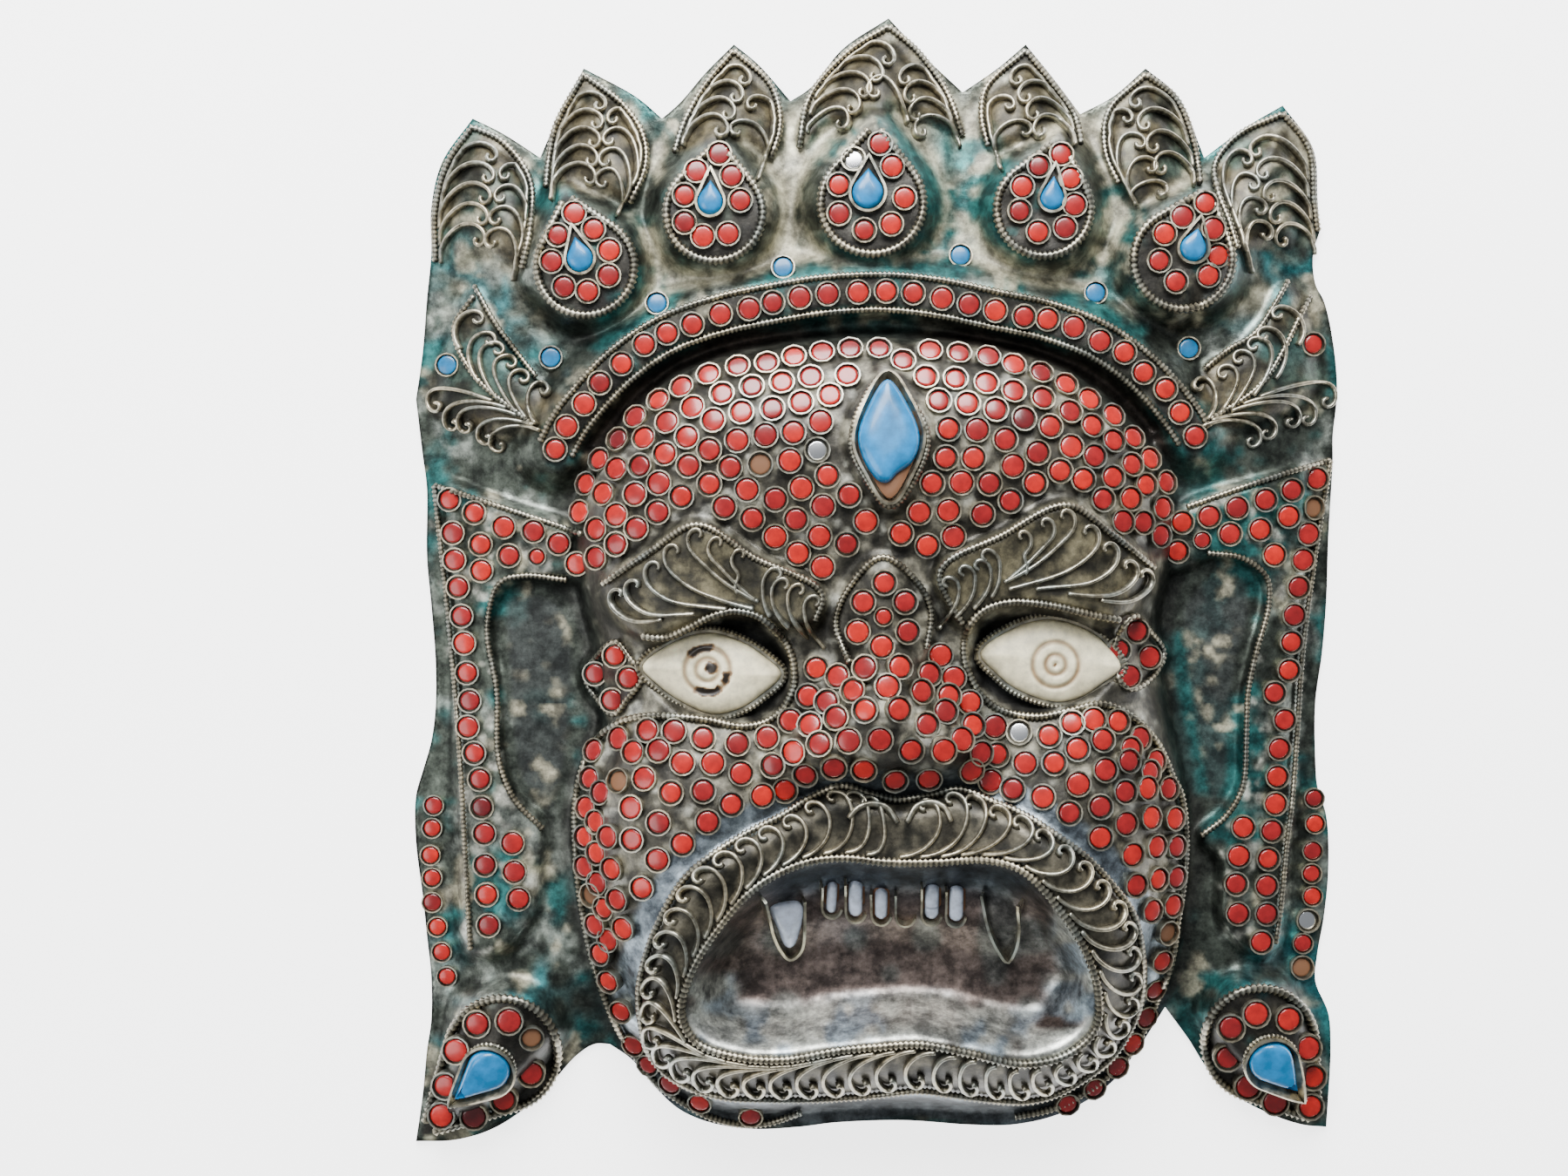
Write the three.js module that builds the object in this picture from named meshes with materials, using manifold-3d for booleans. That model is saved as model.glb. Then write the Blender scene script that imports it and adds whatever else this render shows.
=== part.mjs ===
// A wrathful guardian's dance mask, raised from one sheet of silvered copper and set with coral, turquoise,
// bone and white glass. It lies face up on the rim of the sheet. Millimetres: +X to the right of the face as
// it is looked at, +Y to the crown, +Z out of the face. The origin is the middle of the rim, on the ground.

import * as THREE from "three";
import { mergeVertices } from "three/addons/utils/BufferGeometryUtils.js";
import Module from "manifold-3d";

const wasm = await Module();
wasm.setup();

// The mask's height, crown tip to lower corner. The plan below is drawn at planHeight and follows it.
const maskHeight = 257.6;
const planHeight = 257.6;
const planScale = maskHeight / planHeight;

// The middle of the plan's width and height, over which the origin stands.
const planMiddle = [-0.8, 0.1];

// The plan was drawn from a point above the face, so what stands up moves in towards that point's foot.
const eyeFoot = [-22, -1.8];
const eyeHeight = 450;

// The sheet and its flat rim.
const sheetThickness = 1;
const steepestWall = 3.2;
const rimWidth = 2.6;
const rimSlope = 5;

// How far each form is raised, and how wide its slope is.
const groundRise = 5;
const groundSlope = 16;
const leafRise = 3.4;
const leafSlope = 6;
const bossRise = 8.5;
const bossSlope = 7.5;
const lowerBossRise = 9;
const bandRise = 7;
const bandHalfWidth = 4;
const bandOuterSlope = 7;
const bandInnerSlope = 2.6;
const faceRise = 24;
const faceSlope = 20;
const foreheadRise = 5.5;
const cheekRise = 7;
const bridgeRise = 6;
const noseRise = 13;
const nostrilRise = 6;
const swellingPower = 1.4;
const browRise = 5;
const browSlope = 3;
const socketFloor = 19;
const socketSlope = 4;
const socketLap = 0.5;
const plaqueRise = 2.4;
const plaqueSlope = 3;
const templeRise = 5;
const templeShare = 0.5;
const lipRise = 6;
const lipSlope = 5.5;
const mouthDepth = 17;
const upperMouthSlope = 7;
const lowerMouthSlope = 13;
const gumRise = 5;
const gumHalfWidth = 7;
const gumPlateau = 1.6;
const earRise = 4;
const earSlope = 3;
const earDip = 2.6;

// Stones and their settings, each a hair off the sheet.
const seatGap = 0.5;
const seatTrim = 0.1;
const settingRadius = 2.7;
const settingHeight = 1.9;
const stripWidth = 1.6;
const stripHeight = 1;
const cornerReach = 1.6;
const stoneRoot = 0.8;
const dropHeight = 1.8;
const dropCrown = 0.8;
const crownLevel = 0.55;
const crownShoulder = 0.8;
const thirdEyeHeight = 2.6;
const thirdEyeCrown = 1.6;
const eyeEdge = 2.4;
const eyeCrown = 3;
const toothHeight = 1.8;
const toothCrown = 0.9;
const toothSides = 8;

// How finely the sheet is faceted.
const sheetPoints = 1230;
const outlineStep = 5.8;
const regionStep = 3;
const eyeStep = 7;
const thirdEyeStep = 6;
const fangStep = 4;
const crownDropSteps = 7;
const lowerDropSteps = 8;
const bossSteps = 14;
const keepOffShare = 0.36;
const rimKept = 0.9;

// Each run of the outline goes from one sharp corner to the next, clockwise from the crown's middle tip.
const outlineRuns = [
  [[2, 129], [10.5, 120], [19, 112]],
  [[19, 112], [27, 117.5], [33.5, 123]],
  [[33.5, 123], [40, 115], [46, 107]],
  [[46, 107], [53.5, 111], [61, 117.5]],
  [[61, 117.5], [68.5, 111], [74.5, 97]],
  [[74.5, 97], [84, 104], [92.5, 109]],
  [[92.5, 109], [99.5, 99], [100.5, 87.5], [101, 80]],
  [
    [101, 80], [99.5, 75], [100, 68], [102, 64], [104, 55], [105, 43.5], [104, 33], [104, 27.5], [103, 10],
    [102.5, -5], [101.5, -17], [100, -28], [100, -41], [100.5, -47.5], [102.5, -54], [103, -66], [102, -77],
    [100.5, -85.5], [100, -92], [103, -99.5], [103.5, -108], [103, -118], [102.5, -125.5],
  ],
  [[102.5, -125.5], [97, -125], [89.5, -122.5], [82, -118.5], [75.5, -112.5], [71, -105.5], [65.5, -98]],
  [
    [65.5, -98], [59, -108], [53.5, -115], [47.5, -119.5], [40, -123], [30.5, -125], [20.5, -125], [5.5, -124],
    [-10, -124.5], [-18.5, -125.5], [-29, -126], [-39, -124.5], [-46, -121.5], [-51.5, -116.5], [-57, -110],
    [-62, -106.5],
  ],
  [
    [-62, -106.5], [-65.5, -106.5], [-69.5, -109], [-75, -115], [-80.5, -120.5], [-89, -126], [-97.5, -128.5],
    [-106.5, -128.8],
  ],
  [
    [-106.5, -128.8], [-105, -118.5], [-104, -108], [-103, -101], [-103, -91], [-104, -81.5], [-105, -72],
    [-106.5, -60], [-106.5, -49.5], [-105, -44], [-103, -37], [-102, -29], [-102, -18.5], [-103, -5.5],
    [-104, 5.5], [-104, 21], [-105, 29], [-106.5, 41.5],
  ],
  [[-106.5, 41.5], [-105, 52], [-104, 64.5], [-103, 75], [-103, 85.5], [-100.5, 96], [-93.5, 106]],
  [[-93.5, 106], [-86.5, 102.5], [-78, 97]],
  [[-78, 97], [-74.5, 105], [-68, 117.5]],
  [[-68, 117.5], [-56, 111], [-50, 106]],
  [[-50, 106], [-46, 109.5], [-40, 116.5], [-33.5, 123]],
  [[-33.5, 123], [-28, 118.5], [-20.5, 110]],
  [[-20.5, 110], [-16, 113], [-8.5, 122], [2, 129]],
];

// The crown's seven leaves and the two that lie at the temples.
const leafPlans = [
  [[2, 127], [8.5, 121.5], [15, 112.5], [19, 102], [16, 103], [6, 107.5], [-1, 105.5], [-10, 105], [-18.5, 99],
    [-16, 111], [-7.5, 121]],
  [[-33.5, 121.5], [-25, 113.5], [-23, 105], [-25, 97], [-30, 99.5], [-37, 101], [-43, 99], [-47, 98],
    [-45, 104.5], [-40.5, 113]],
  [[-68, 116], [-59, 109], [-54.5, 102], [-54, 95], [-57.5, 86.5], [-62, 88], [-69, 89], [-76.5, 90],
    [-76, 96], [-74.5, 104]],
  [[-93.5, 104], [-86.5, 100.5], [-80.5, 92], [-80, 82], [-82, 71.5], [-90, 75], [-98, 72], [-102, 73],
    [-102, 85.5], [-99, 96]],
  [[33.5, 121.5], [40, 113.5], [44.5, 107], [46, 100], [41, 101.5], [34, 100], [25, 99.5], [23.5, 106.5],
    [24.5, 113]],
  [[61, 116], [68, 110.5], [72, 100.5], [73.5, 91], [68, 88], [58.5, 86], [55, 91], [52, 98], [52.5, 107.5]],
  [[92.5, 107], [98.5, 99], [99.5, 87.5], [100.5, 80], [98, 73], [90, 77], [82, 76], [80, 82.5], [77.5, 89],
    [77, 95.5], [82, 102]],
  [[-93, 67.5], [-89, 59.5], [-85, 52.5], [-78.5, 45.5], [-71.5, 42], [-74, 37], [-79, 34], [-86, 32],
    [-94, 35], [-102, 37], [-105, 42], [-103, 49], [-99.5, 55.5]],
  [[94, 69], [98, 65.5], [101, 60], [102.5, 53], [103, 43.5], [98, 41], [90, 37.5], [82, 35], [75, 35.5],
    [73.5, 42], [74.5, 49.5], [81, 52.5], [87.5, 60], [90.5, 67]],
];

// Drop-shaped bosses: the round end's centre and radius, the reach of the point, and its lean from +Y.
const crownBosses = [
  { at: [-67.6, 72], radius: 11, reach: 16.6, lean: 15 },
  { at: [-38, 84.4], radius: 10.9, reach: 16, lean: -3 },
  { at: [-1.8, 86.6], radius: 11.6, reach: 18, lean: -2 },
  { at: [37.6, 85.2], radius: 10.6, reach: 16.2, lean: -13 },
  { at: [69.6, 73.6], radius: 11.2, reach: 17, lean: -20 },
];
const lowerBosses = [
  { at: [-86.6, -108.8], radius: 12.6, reach: 26, lean: 135 },
  { at: [87.2, -106.4], radius: 12.6, reach: 22, lean: -143 },
];
const crownDrops = [
  { at: [-68.8, 73.7], radius: 3.4, reach: 7, lean: 8, ring: 7.4, tipStone: 10.6 },
  { at: [-38.9, 86.7], radius: 3.5, reach: 7, lean: -6, ring: 7.6, tipStone: 11.2 },
  { at: [-2.8, 88.8], radius: 4.3, reach: 8.2, lean: -8, ring: 8.3, tipStone: 11.4 },
  { at: [39.4, 87.5], radius: 3.3, reach: 6.6, lean: -10, ring: 7.6, tipStone: 10.4 },
  { at: [71.7, 76.1], radius: 3.5, reach: 6.4, lean: -14, ring: 7.5, tipStone: 10.6 },
];
const lowerDrops = [
  { at: [-89.8, -112.4], radius: 4.8, reach: 9.6, lean: 135, ring: 8.9, tipStone: 14.2 },
  { at: [89.8, -110.5], radius: 4.9, reach: 8.6, lean: -143, ring: 9.3, tipStone: 13.6 },
];
const crownRingStones = 7;
const lowerRingStones = 8;
const ringOpening = 66;

// The arched band over the forehead, along its middle.
const bandPlan = [
  [-74.4, 30], [-71.8, 35.2], [-67.8, 40.6], [-59.2, 49.6], [-48.8, 56.6], [-36.6, 61], [-24.6, 63.6],
  [-12, 65.6], [1.4, 66.2], [14.2, 64.8], [26.4, 62.2], [38.4, 59.6], [50.4, 55], [60.4, 47.8], [68.8, 38.4],
  [72.2, 33],
];
const bandStones = 28;

const facePlan = [
  [-70, 5], [-69.5, 15], [-66, 25], [-59.5, 36], [-51.5, 44], [-41.5, 50], [-29.5, 53.5], [-14, 55.5],
  [0.5, 56], [14.5, 55.5], [28.5, 53.5], [40.5, 49.5], [51, 43], [59, 35], [65.5, 25], [67.5, 15], [67, 5],
  [64, -7], [64.5, -19], [67, -33], [69.5, -47], [70, -61], [69, -77], [66, -91], [59.5, -105], [50, -116],
  [38, -121.5], [22, -123], [0, -122.5], [-22, -123.5], [-36, -123.5], [-47, -118.5], [-56.5, -108.5],
  [-63, -95], [-67, -79], [-69.5, -62], [-68.5, -45], [-64, -34], [-64.5, -19], [-67.5, -7],
];
// What swells out of the face: forehead, cheeks, bridge, nose and nostrils.
const faceForms = [
  { rise: foreheadRise, parts: [{ at: [1, 26], across: 60, up: 30, down: 36 }] },
  {
    rise: cheekRise,
    parts: [{ at: [-44, -60], across: 27, up: 32, down: 40 }, { at: [45, -58], across: 27, up: 32, down: 40 }],
  },
  { rise: bridgeRise, parts: [{ at: [1, -20], across: 11, up: 26 }] },
  { rise: noseRise, parts: [{ at: [0.5, -38], across: 24, up: 22, down: 12 }] },
  { rise: nostrilRise, parts: [{ at: [-16, -41], across: 11, up: 9 }, { at: [17, -40], across: 11, up: 9 }] },
];
const browPlans = [
  [[-63.5, -1], [-53, 6], [-42, 12.5], [-29, 5], [-13.5, -3], [-15, -9], [-22, -10], [-28, -7.5],
    [-33.5, -6.5], [-42, -9], [-49.5, -12.5], [-55, -12.5], [-59.5, -9]],
  [[14, 2], [28, 10], [43, 17], [53, 10.5], [62.5, 3], [61, -3], [55, -9], [48, -7], [39.5, -5], [30, -4.5],
    [23.5, -7], [19, -10]],
];
const socketPlans = [
  [[-55.5, -19.5], [-49.5, -13.5], [-39, -9], [-28, -9], [-21, -16], [-20, -25], [-26, -32], [-32.5, -33],
    [-39, -32.5], [-49, -28]],
  [[56.5, -19], [48.5, -10], [39.5, -7], [30, -7], [23.5, -9], [20.5, -15], [21, -23], [24, -27.5],
    [30, -30.5], [38, -31], [47, -28]],
];
const eyePlans = [
  [[-54.4, -19.8], [-48, -14.6], [-39.2, -12], [-31, -14.4], [-26, -17.8], [-22.6, -21.4], [-28, -26.8],
    [-32.8, -29.6], [-38.4, -30.6], [-46, -27.4], [-51, -23.8]],
  [[22.8, -16.8], [30, -11.2], [39, -9], [48, -11.8], [52, -15.2], [55, -20], [50.4, -23.8], [45.6, -26.8],
    [40, -27.8], [31, -24.8], [26, -20.8]],
];
const noseRootPlan = [
  [-6.6, -19], [-10, -10], [-7.6, -3], [0.4, 5], [8.4, -0.5], [11.6, -7], [10.4, -16], [6, -21], [-1, -22],
];
const thirdEyePlan = [
  [1.8, 46], [6.4, 40], [9, 33], [7, 25.6], [2.2, 18.6], [-2.2, 24.4], [-5, 31.6], [-2.6, 40],
];
const thirdEyeMargin = 2;
const templePlans = [
  [[-67.5, -22], [-65, -18], [-60.5, -14], [-57, -18], [-54.5, -22.5], [-57.5, -27], [-61, -31], [-64, -28]],
  [[54.5, -12.5], [58.5, -8], [61.5, -11.5], [65, -17], [60.5, -24], [57, -25], [54.5, -22]],
];
const lipPlan = [
  [-2.5, -49], [4, -50.5], [11.5, -49.5], [18, -48], [24.5, -50.5], [33, -54], [40, -58.5], [47.5, -64],
  [53.5, -70.5], [58, -77], [60, -86.5], [60, -95], [57.5, -102.5], [53, -109.5], [46.5, -114.5], [40, -118],
  [33, -119.5], [24.5, -119], [17, -118], [9, -117], [-1, -118], [-15, -119], [-27, -119], [-35.5, -118.5],
  [-43, -116.5], [-49, -113], [-53, -108], [-54.5, -102], [-55, -94], [-53, -85], [-49.5, -76.5],
  [-44.5, -68.5], [-38, -63], [-30, -58], [-22, -54], [-15, -49.5], [-9, -47],
];
const mouthPlan = [
  [1.5, -64.5], [13, -64.5], [24.5, -64], [33, -66.5], [42, -76], [47.5, -85], [50, -93.5], [49.5, -102.5],
  [43.5, -108.5], [33, -111], [20.5, -108.5], [9, -106.5], [0, -107], [-10, -108], [-22, -110], [-32, -109.5],
  [-42, -106], [-45.5, -100], [-44, -91], [-38, -80.5], [-29, -70.5], [-18.5, -65], [-9, -63.5],
];
const earPlans = [
  [[-102, 21.5], [-85, 16.5], [-68.5, 10.5], [-64.5, 5], [-66, 0.5], [-71.5, 0.5], [-79.5, 1], [-85.5, -0.5],
    [-89.5, -6], [-90, -14], [-88.5, -25], [-88, -37], [-87, -44], [-84, -50.5], [-77.5, -57], [-79, -67],
    [-79.5, -76], [-87, -84.5], [-94, -85], [-95, -63], [-96.5, -37], [-99, -7]],
  [[103, 26.5], [87, 22], [70.5, 16.5], [65.5, 12], [64.5, 4], [70, 3], [75, 6], [83.5, 5], [88.5, 1],
    [89.5, -5], [86.5, -17], [84.5, -26], [84, -36], [83.5, -47.5], [79.5, -54], [74, -59], [78.5, -64],
    [78.5, -77], [82, -82], [87, -86], [90.5, -84], [92, -75], [93, -62], [94.5, -50.5], [95.5, -34.5],
    [97, -17], [100, 6]],
];
const earHollowPlans = [
  [[-86, -4], [-76, -3], [-71, -8], [-70, -24], [-72, -44], [-76, -54], [-82, -48], [-85, -36], [-86, -18]],
  [[84, 1], [76, 1.5], [69, -6], [70, -22], [73, -40], [76, -52], [80, -48], [81, -34], [83, -18], [86, -6]],
];

// Rows of small stones: the points that each row runs through and how many stones it holds.
const earRows = [
  { through: [[-69.5, 4.5], [-79.4, 11.2], [-92, 15.4], [-98.3, 16.5], [-97.5, 8], [-95.5, -10], [-94, -34],
    [-91.5, -52], [-90, -78]], count: 23 },
  { through: [[69, 13.2], [80, 16.4], [92, 20], [98.6, 21], [97.8, 10], [94.4, -8], [92.4, -28.6], [90.6, -50],
    [87.6, -82]], count: 24 },
];
const earFootRows = [
  { through: [[-84, -60], [-83.4, -66.8], [-82.6, -73]], count: 3 },
  { through: [[83.2, -57], [82.2, -63.3], [81.6, -69.6], [81.4, -76]], count: 4 },
];
const edgeRows = [
  { through: [[-102.2, -51.6], [-103, -62], [-102.5, -73.8], [-101, -82], [-99.4, -90.8]], count: 8 },
  { through: [[99.4, -50], [99, -62], [98.9, -72.5], [97.6, -80], [96.6, -88.7]], count: 8 },
];
const noseRootStones = [
  [0.8, -0.8], [-4.2, -5], [-4.8, -12], [0.4, -15.6], [6.2, -11.8], [5.8, -5.2], [0.8, -8.4],
];
const templeStones = [
  [[-61, -16.8], [-65, -21.6], [-61.4, -27], [-59, -22]],
  [[58.6, -11.4], [62, -17], [58, -22.4], [57, -16.6]],
];
const turquoiseDots = [
  [-99, 49.2], [-75.4, 51], [-51, 63.2], [-22.2, 71.4], [18.4, 74.2], [49.2, 65.6], [70.4, 52.8],
];
const coralDot = [98.6, 54];

// The teeth: a long one on the left and five of the six small ones. The right long one is lost.
const incisorPlans = [
  { at: [-11, -72.4], width: 1.8, height: 6.6 },
  { at: [-5.6, -72.6], width: 2.3, height: 7.4 },
  { at: [0.4, -73.2], width: 2.1, height: 5.2 },
  { at: [11.6, -73], width: 2.4, height: 7.4 },
  { at: [17.4, -73.6], width: 2.2, height: 6.8 },
];
const fangPlan = [
  [-26, -73.6], [-22, -73], [-18.4, -73.8], [-18, -79], [-19.4, -84.6], [-21, -84.8], [-23.4, -80],
];
const gumLine = [[-24, -75], [-12, -72.5], [3, -72], [16, -73], [28, -76]];

const clamp01 = (t) => Math.min(1, Math.max(0, t));
const ease = (t) => clamp01(t) ** 2 * (3 - 2 * clamp01(t));
const arch = (t) => Math.sqrt(1 - (1 - clamp01(t)) ** 2);

// A list of plan points as a smooth line at even steps, at the mask's size.
function smoothLine(points, closed, step = regionStep) {
  const scaled = points.map(([x, y]) => new THREE.Vector3(x * planScale, y * planScale, 0));
  const curve = new THREE.CatmullRomCurve3(scaled, closed, "centripetal");
  const pieces = Math.ceil(curve.getLength() / step);
  const line = curve.getSpacedPoints(pieces).map((p) => [p.x, p.y]);
  return closed ? line.slice(0, -1) : line;
}

function evenPoints({ through, count }) {
  const scaled = through.map(([x, y]) => new THREE.Vector3(x * planScale, y * planScale, 0));
  const curve = new THREE.CatmullRomCurve3(scaled, false, "centripetal");
  return curve.getSpacedPoints(count - 1).map((p) => [p.x, p.y]);
}

// The outline of a drop: most of a circle, closed by two straight sides that meet in a point.
function dropLine({ at, radius, reach, lean }, steps = bossSteps) {
  const r = radius * planScale;
  const tip = reach * planScale;
  const open = Math.acos(clamp01(r / tip));
  const turn = Math.PI / 2 + THREE.MathUtils.degToRad(lean);
  const centre = at.map((c) => c * planScale);
  const line = [[centre[0] + tip * Math.cos(turn), centre[1] + tip * Math.sin(turn)]];
  for (let i = 0; i <= steps; i++) {
    const a = turn + open + (i / steps) * 2 * (Math.PI - open);
    line.push([centre[0] + r * Math.cos(a), centre[1] + r * Math.sin(a)]);
  }
  return line;
}

function boundsOf(line) {
  const xs = line.map((p) => p[0]);
  const ys = line.map((p) => p[1]);
  return { left: Math.min(...xs), right: Math.max(...xs), low: Math.min(...ys), high: Math.max(...ys) };
}

const asRegion = (line) => ({ line, box: boundsOf(line) });
const region = (points) => asRegion(smoothLine(points, true));

// Distance from a point to a stretch between two others, squared.
function gapSquared(x, y, [ax, ay], [bx, by]) {
  const dx = bx - ax;
  const dy = by - ay;
  const t = clamp01(((x - ax) * dx + (y - ay) * dy) / (dx * dx + dy * dy || 1));
  return (x - ax - t * dx) ** 2 + (y - ay - t * dy) ** 2;
}

// How deep a point lies inside a closed region, and below zero outside it.
function depthIn({ line, box }, x, y, reach = Infinity) {
  if (x < box.left - reach || x > box.right + reach) return -Infinity;
  if (y < box.low - reach || y > box.high + reach) return -Infinity;
  let nearest = Infinity;
  let inside = false;
  for (let i = 0, j = line.length - 1; i < line.length; j = i++) {
    nearest = Math.min(nearest, gapSquared(x, y, line[j], line[i]));
    const [ax, ay] = line[j];
    const [bx, by] = line[i];
    if (by > y !== ay > y && x < ((ax - bx) * (y - by)) / (ay - by) + bx) inside = !inside;
  }
  return inside ? Math.sqrt(nearest) : -Math.sqrt(nearest);
}

function gapTo(line, x, y) {
  let nearest = Infinity;
  for (let i = 1; i < line.length; i++) nearest = Math.min(nearest, gapSquared(x, y, line[i - 1], line[i]));
  return Math.sqrt(nearest);
}

// A smooth swelling, one at its centre and nothing from its rim outwards. The lower half may be shorter.
function swelling(x, y, { at, across, up, down = up }) {
  const dy = y / planScale - at[1];
  const r = ((x / planScale - at[0]) / across) ** 2 + (dy / (dy > 0 ? up : down)) ** 2;
  return r < 1 ? (1 - r) ** swellingPower : 0;
}

const outline = asRegion(outlineRuns.flatMap((run) => smoothLine(run, false, outlineStep).slice(0, -1)));
const leaves = leafPlans.map(region);
const crownTops = crownBosses.map((boss) => asRegion(dropLine(boss)));
const lowerTops = lowerBosses.map((boss) => asRegion(dropLine(boss)));
const bandLine = smoothLine(bandPlan, false);
const underBand = asRegion(bandLine);
const face = region(facePlan);
const brows = browPlans.map(region);
const sockets = socketPlans.map(region);
const noseRoot = region(noseRootPlan);
const thirdEye = region(thirdEyePlan);
const temples = templePlans.map(region);
const lips = region(lipPlan);
const mouth = region(mouthPlan);
const ears = earPlans.map(region);
const earHollows = earHollowPlans.map(region);
const gum = smoothLine(gumLine, false);

// One where a region is, falling to nothing over the slope around it.
const table = (shape, x, y, slope) => ease(1 + Math.min(0, depthIn(shape, x, y, slope)) / slope);
const most = (values) => Math.max(0, ...values);

function faceHeight(x, y) {
  const z = faceRise * arch(depthIn(face, x, y, 0) / faceSlope);
  const swell = ({ rise, parts }) => rise * most(parts.map((part) => swelling(x, y, part)));
  return faceForms.reduce((sum, form) => sum + swell(form), z);
}

function crownHeight(x, y) {
  const leaf = leafRise * most(leaves.map((shape) => arch(depthIn(shape, x, y, 0) / leafSlope)));
  const boss = bossRise * most(crownTops.map((top) => table(top, x, y, bossSlope)));
  const away = Math.max(0, gapTo(bandLine, x, y) - bandHalfWidth);
  const slope = depthIn(underBand, x, y) > 0 ? bandInnerSlope : bandOuterSlope;
  return Math.max(leaf, boss, bandRise * ease(1 - away / slope));
}

function sideHeight(x, y) {
  const ear = earRise * most(ears.map((shape) => table(shape, x, y, earSlope)));
  const hollow = earDip * most(earHollows.map((shape) => ease(depthIn(shape, x, y, 0) / earSlope)));
  const boss = lowerBossRise * most(lowerTops.map((top) => table(top, x, y, bossSlope)));
  return Math.max(ear, boss) - hollow;
}

// The front of the sheet, as a height over the ground.
function relief(x, y) {
  const fromEdge = depthIn(outline, x, y);
  const ground = groundRise * ease((fromEdge - rimWidth) / groundSlope);
  let z = Math.max(faceHeight(x, y), crownHeight(x, y), sideHeight(x, y));
  const temple = most(temples.map((shape) => table(shape, x, y, plaqueSlope)));
  z = Math.max(z, templeRise * temple + templeShare * z);
  z += browRise * most(brows.map((shape) => table(shape, x, y, browSlope)));
  z += plaqueRise * table(noseRoot, x, y, plaqueSlope);
  const thirdEyeDepth = depthIn(thirdEye, x, y, thirdEyeMargin + plaqueSlope) + thirdEyeMargin;
  z += plaqueRise * ease(1 + Math.min(0, thirdEyeDepth) / plaqueSlope);
  z += lipRise * arch(depthIn(lips, x, y, 0) / lipSlope);
  for (const socket of sockets) {
    const sunk = ease((depthIn(socket, x, y, 0) + socketLap) / socketSlope);
    z += (socketFloor - z) * sunk;
  }
  const mouthSlope = y < mouth.box.low + mouthDepth ? lowerMouthSlope : upperMouthSlope;
  const sunk = ease(depthIn(mouth, x, y, 0) / mouthSlope);
  const gumSwell = gumRise * ease(gumPlateau - gapTo(gum, x, y) / gumHalfWidth);
  z -= sunk * (mouthDepth - gumSwell);
  return sheetThickness + ground + z * ease((fromEdge - rimWidth) / rimSlope);
}

// A plan point at a height, where it really stands.
const standing = (x, y, z) => new THREE.Vector3(
  eyeFoot[0] + (x - eyeFoot[0]) * (1 - z / eyeHeight),
  eyeFoot[1] + (y - eyeFoot[1]) * (1 - z / eyeHeight),
  z,
);

// The way the front faces over a plan point.
function facingAt(x, y, reach) {
  const on = (px, py) => standing(px, py, relief(px, py));
  const across = on(x + reach, y).sub(on(x - reach, y));
  const up = on(x, y + reach).sub(on(x, y - reach));
  return across.cross(up).normalize();
}

// The line where the flat rim ends and the sheet begins to rise.
function rimInside() {
  const { line } = outline;
  const moved = line.map(([x, y], i) => {
    const [before, after] = [line.at(i - 1), line[(i + 1) % line.length]];
    const along = new THREE.Vector2(after[0] - before[0], after[1] - before[1]).setLength(rimWidth);
    return [x + along.y, y - along.x];
  });
  return moved.filter(([x, y]) => depthIn(outline, x, y) > rimKept * rimWidth);
}

// Triangles over the sheet, each new corner put where the facets miss the form by most.
function facetPlan() {
  const far = 4 * maskHeight;
  const points = [[-far, -far], [far, -far], [0, far]];
  const heights = [0, 0, 0];
  const keepOff = keepOffShare * outlineStep;

  function facet(a, b, c) {
    const [[ax, ay], [bx, by], [cx, cy]] = [points[a], points[b], points[c]];
    const area = (bx - ax) * (cy - ay) - (by - ay) * (cx - ax);
    if (area < 0) return facet(a, c, b);
    const bb = (bx - ax) ** 2 + (by - ay) ** 2;
    const cc = (cx - ax) ** 2 + (cy - ay) ** 2;
    const ox = ((cy - ay) * bb - (by - ay) * cc) / (2 * area);
    const oy = ((bx - ax) * cc - (cx - ax) * bb) / (2 * area);
    const made = { corners: [a, b, c], x: ax + ox, y: ay + oy, r2: ox * ox + oy * oy, miss: 0, worst: null };
    if (a < 3 || b < 3 || c < 3) return made;
    const shares = [[1, 1, 1], [2, 2, 0.4], [2, 0.4, 2], [0.4, 2, 2], [4, 1, 1], [1, 4, 1], [1, 1, 4]];
    for (const share of shares) {
      const [p, q, r] = share.map((s) => s / (share[0] + share[1] + share[2]));
      const x = ax * p + bx * q + cx * r;
      const y = ay * p + by * q + cy * r;
      if (depthIn(outline, x, y) < keepOff) continue;
      const flat = heights[a] * p + heights[b] * q + heights[c] * r;
      const miss = Math.abs(relief(x, y) - flat) * Math.sqrt(area + 4);
      if (miss > made.miss) {
        made.miss = miss;
        made.worst = [x, y];
      }
    }
    return made;
  }

  let facets = [facet(0, 1, 2)];
  function insert([x, y]) {
    const index = points.push([x, y]) - 1;
    heights.push(relief(x, y));
    const inCircle = (f) => (x - f.x) ** 2 + (y - f.y) ** 2 < f.r2;
    const rim = new Map();
    for (const f of facets.filter(inCircle)) {
      f.corners.forEach((a, i) => {
        const b = f.corners[(i + 1) % 3];
        if (!rim.delete(b + "," + a)) rim.set(a + "," + b, [a, b]);
      });
    }
    facets = facets.filter((f) => !inCircle(f));
    for (const [a, b] of rim.values()) facets.push(facet(a, b, index));
  }

  outline.line.forEach(insert);
  rimInside().forEach(insert);
  while (points.length < sheetPoints) insert(facets.reduce((a, b) => (b.miss > a.miss ? b : a)).worst);
  const onSheet = facets.filter(({ corners }) => {
    if (Math.min(...corners) < 3) return false;
    const [a, b, c] = corners.map((i) => points[i]);
    return depthIn(outline, (a[0] + b[0] + c[0]) / 3, (a[1] + b[1] + c[1]) / 3) > 0;
  });
  return { points, heights, triangles: onSheet.map((f) => f.corners) };
}

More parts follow.
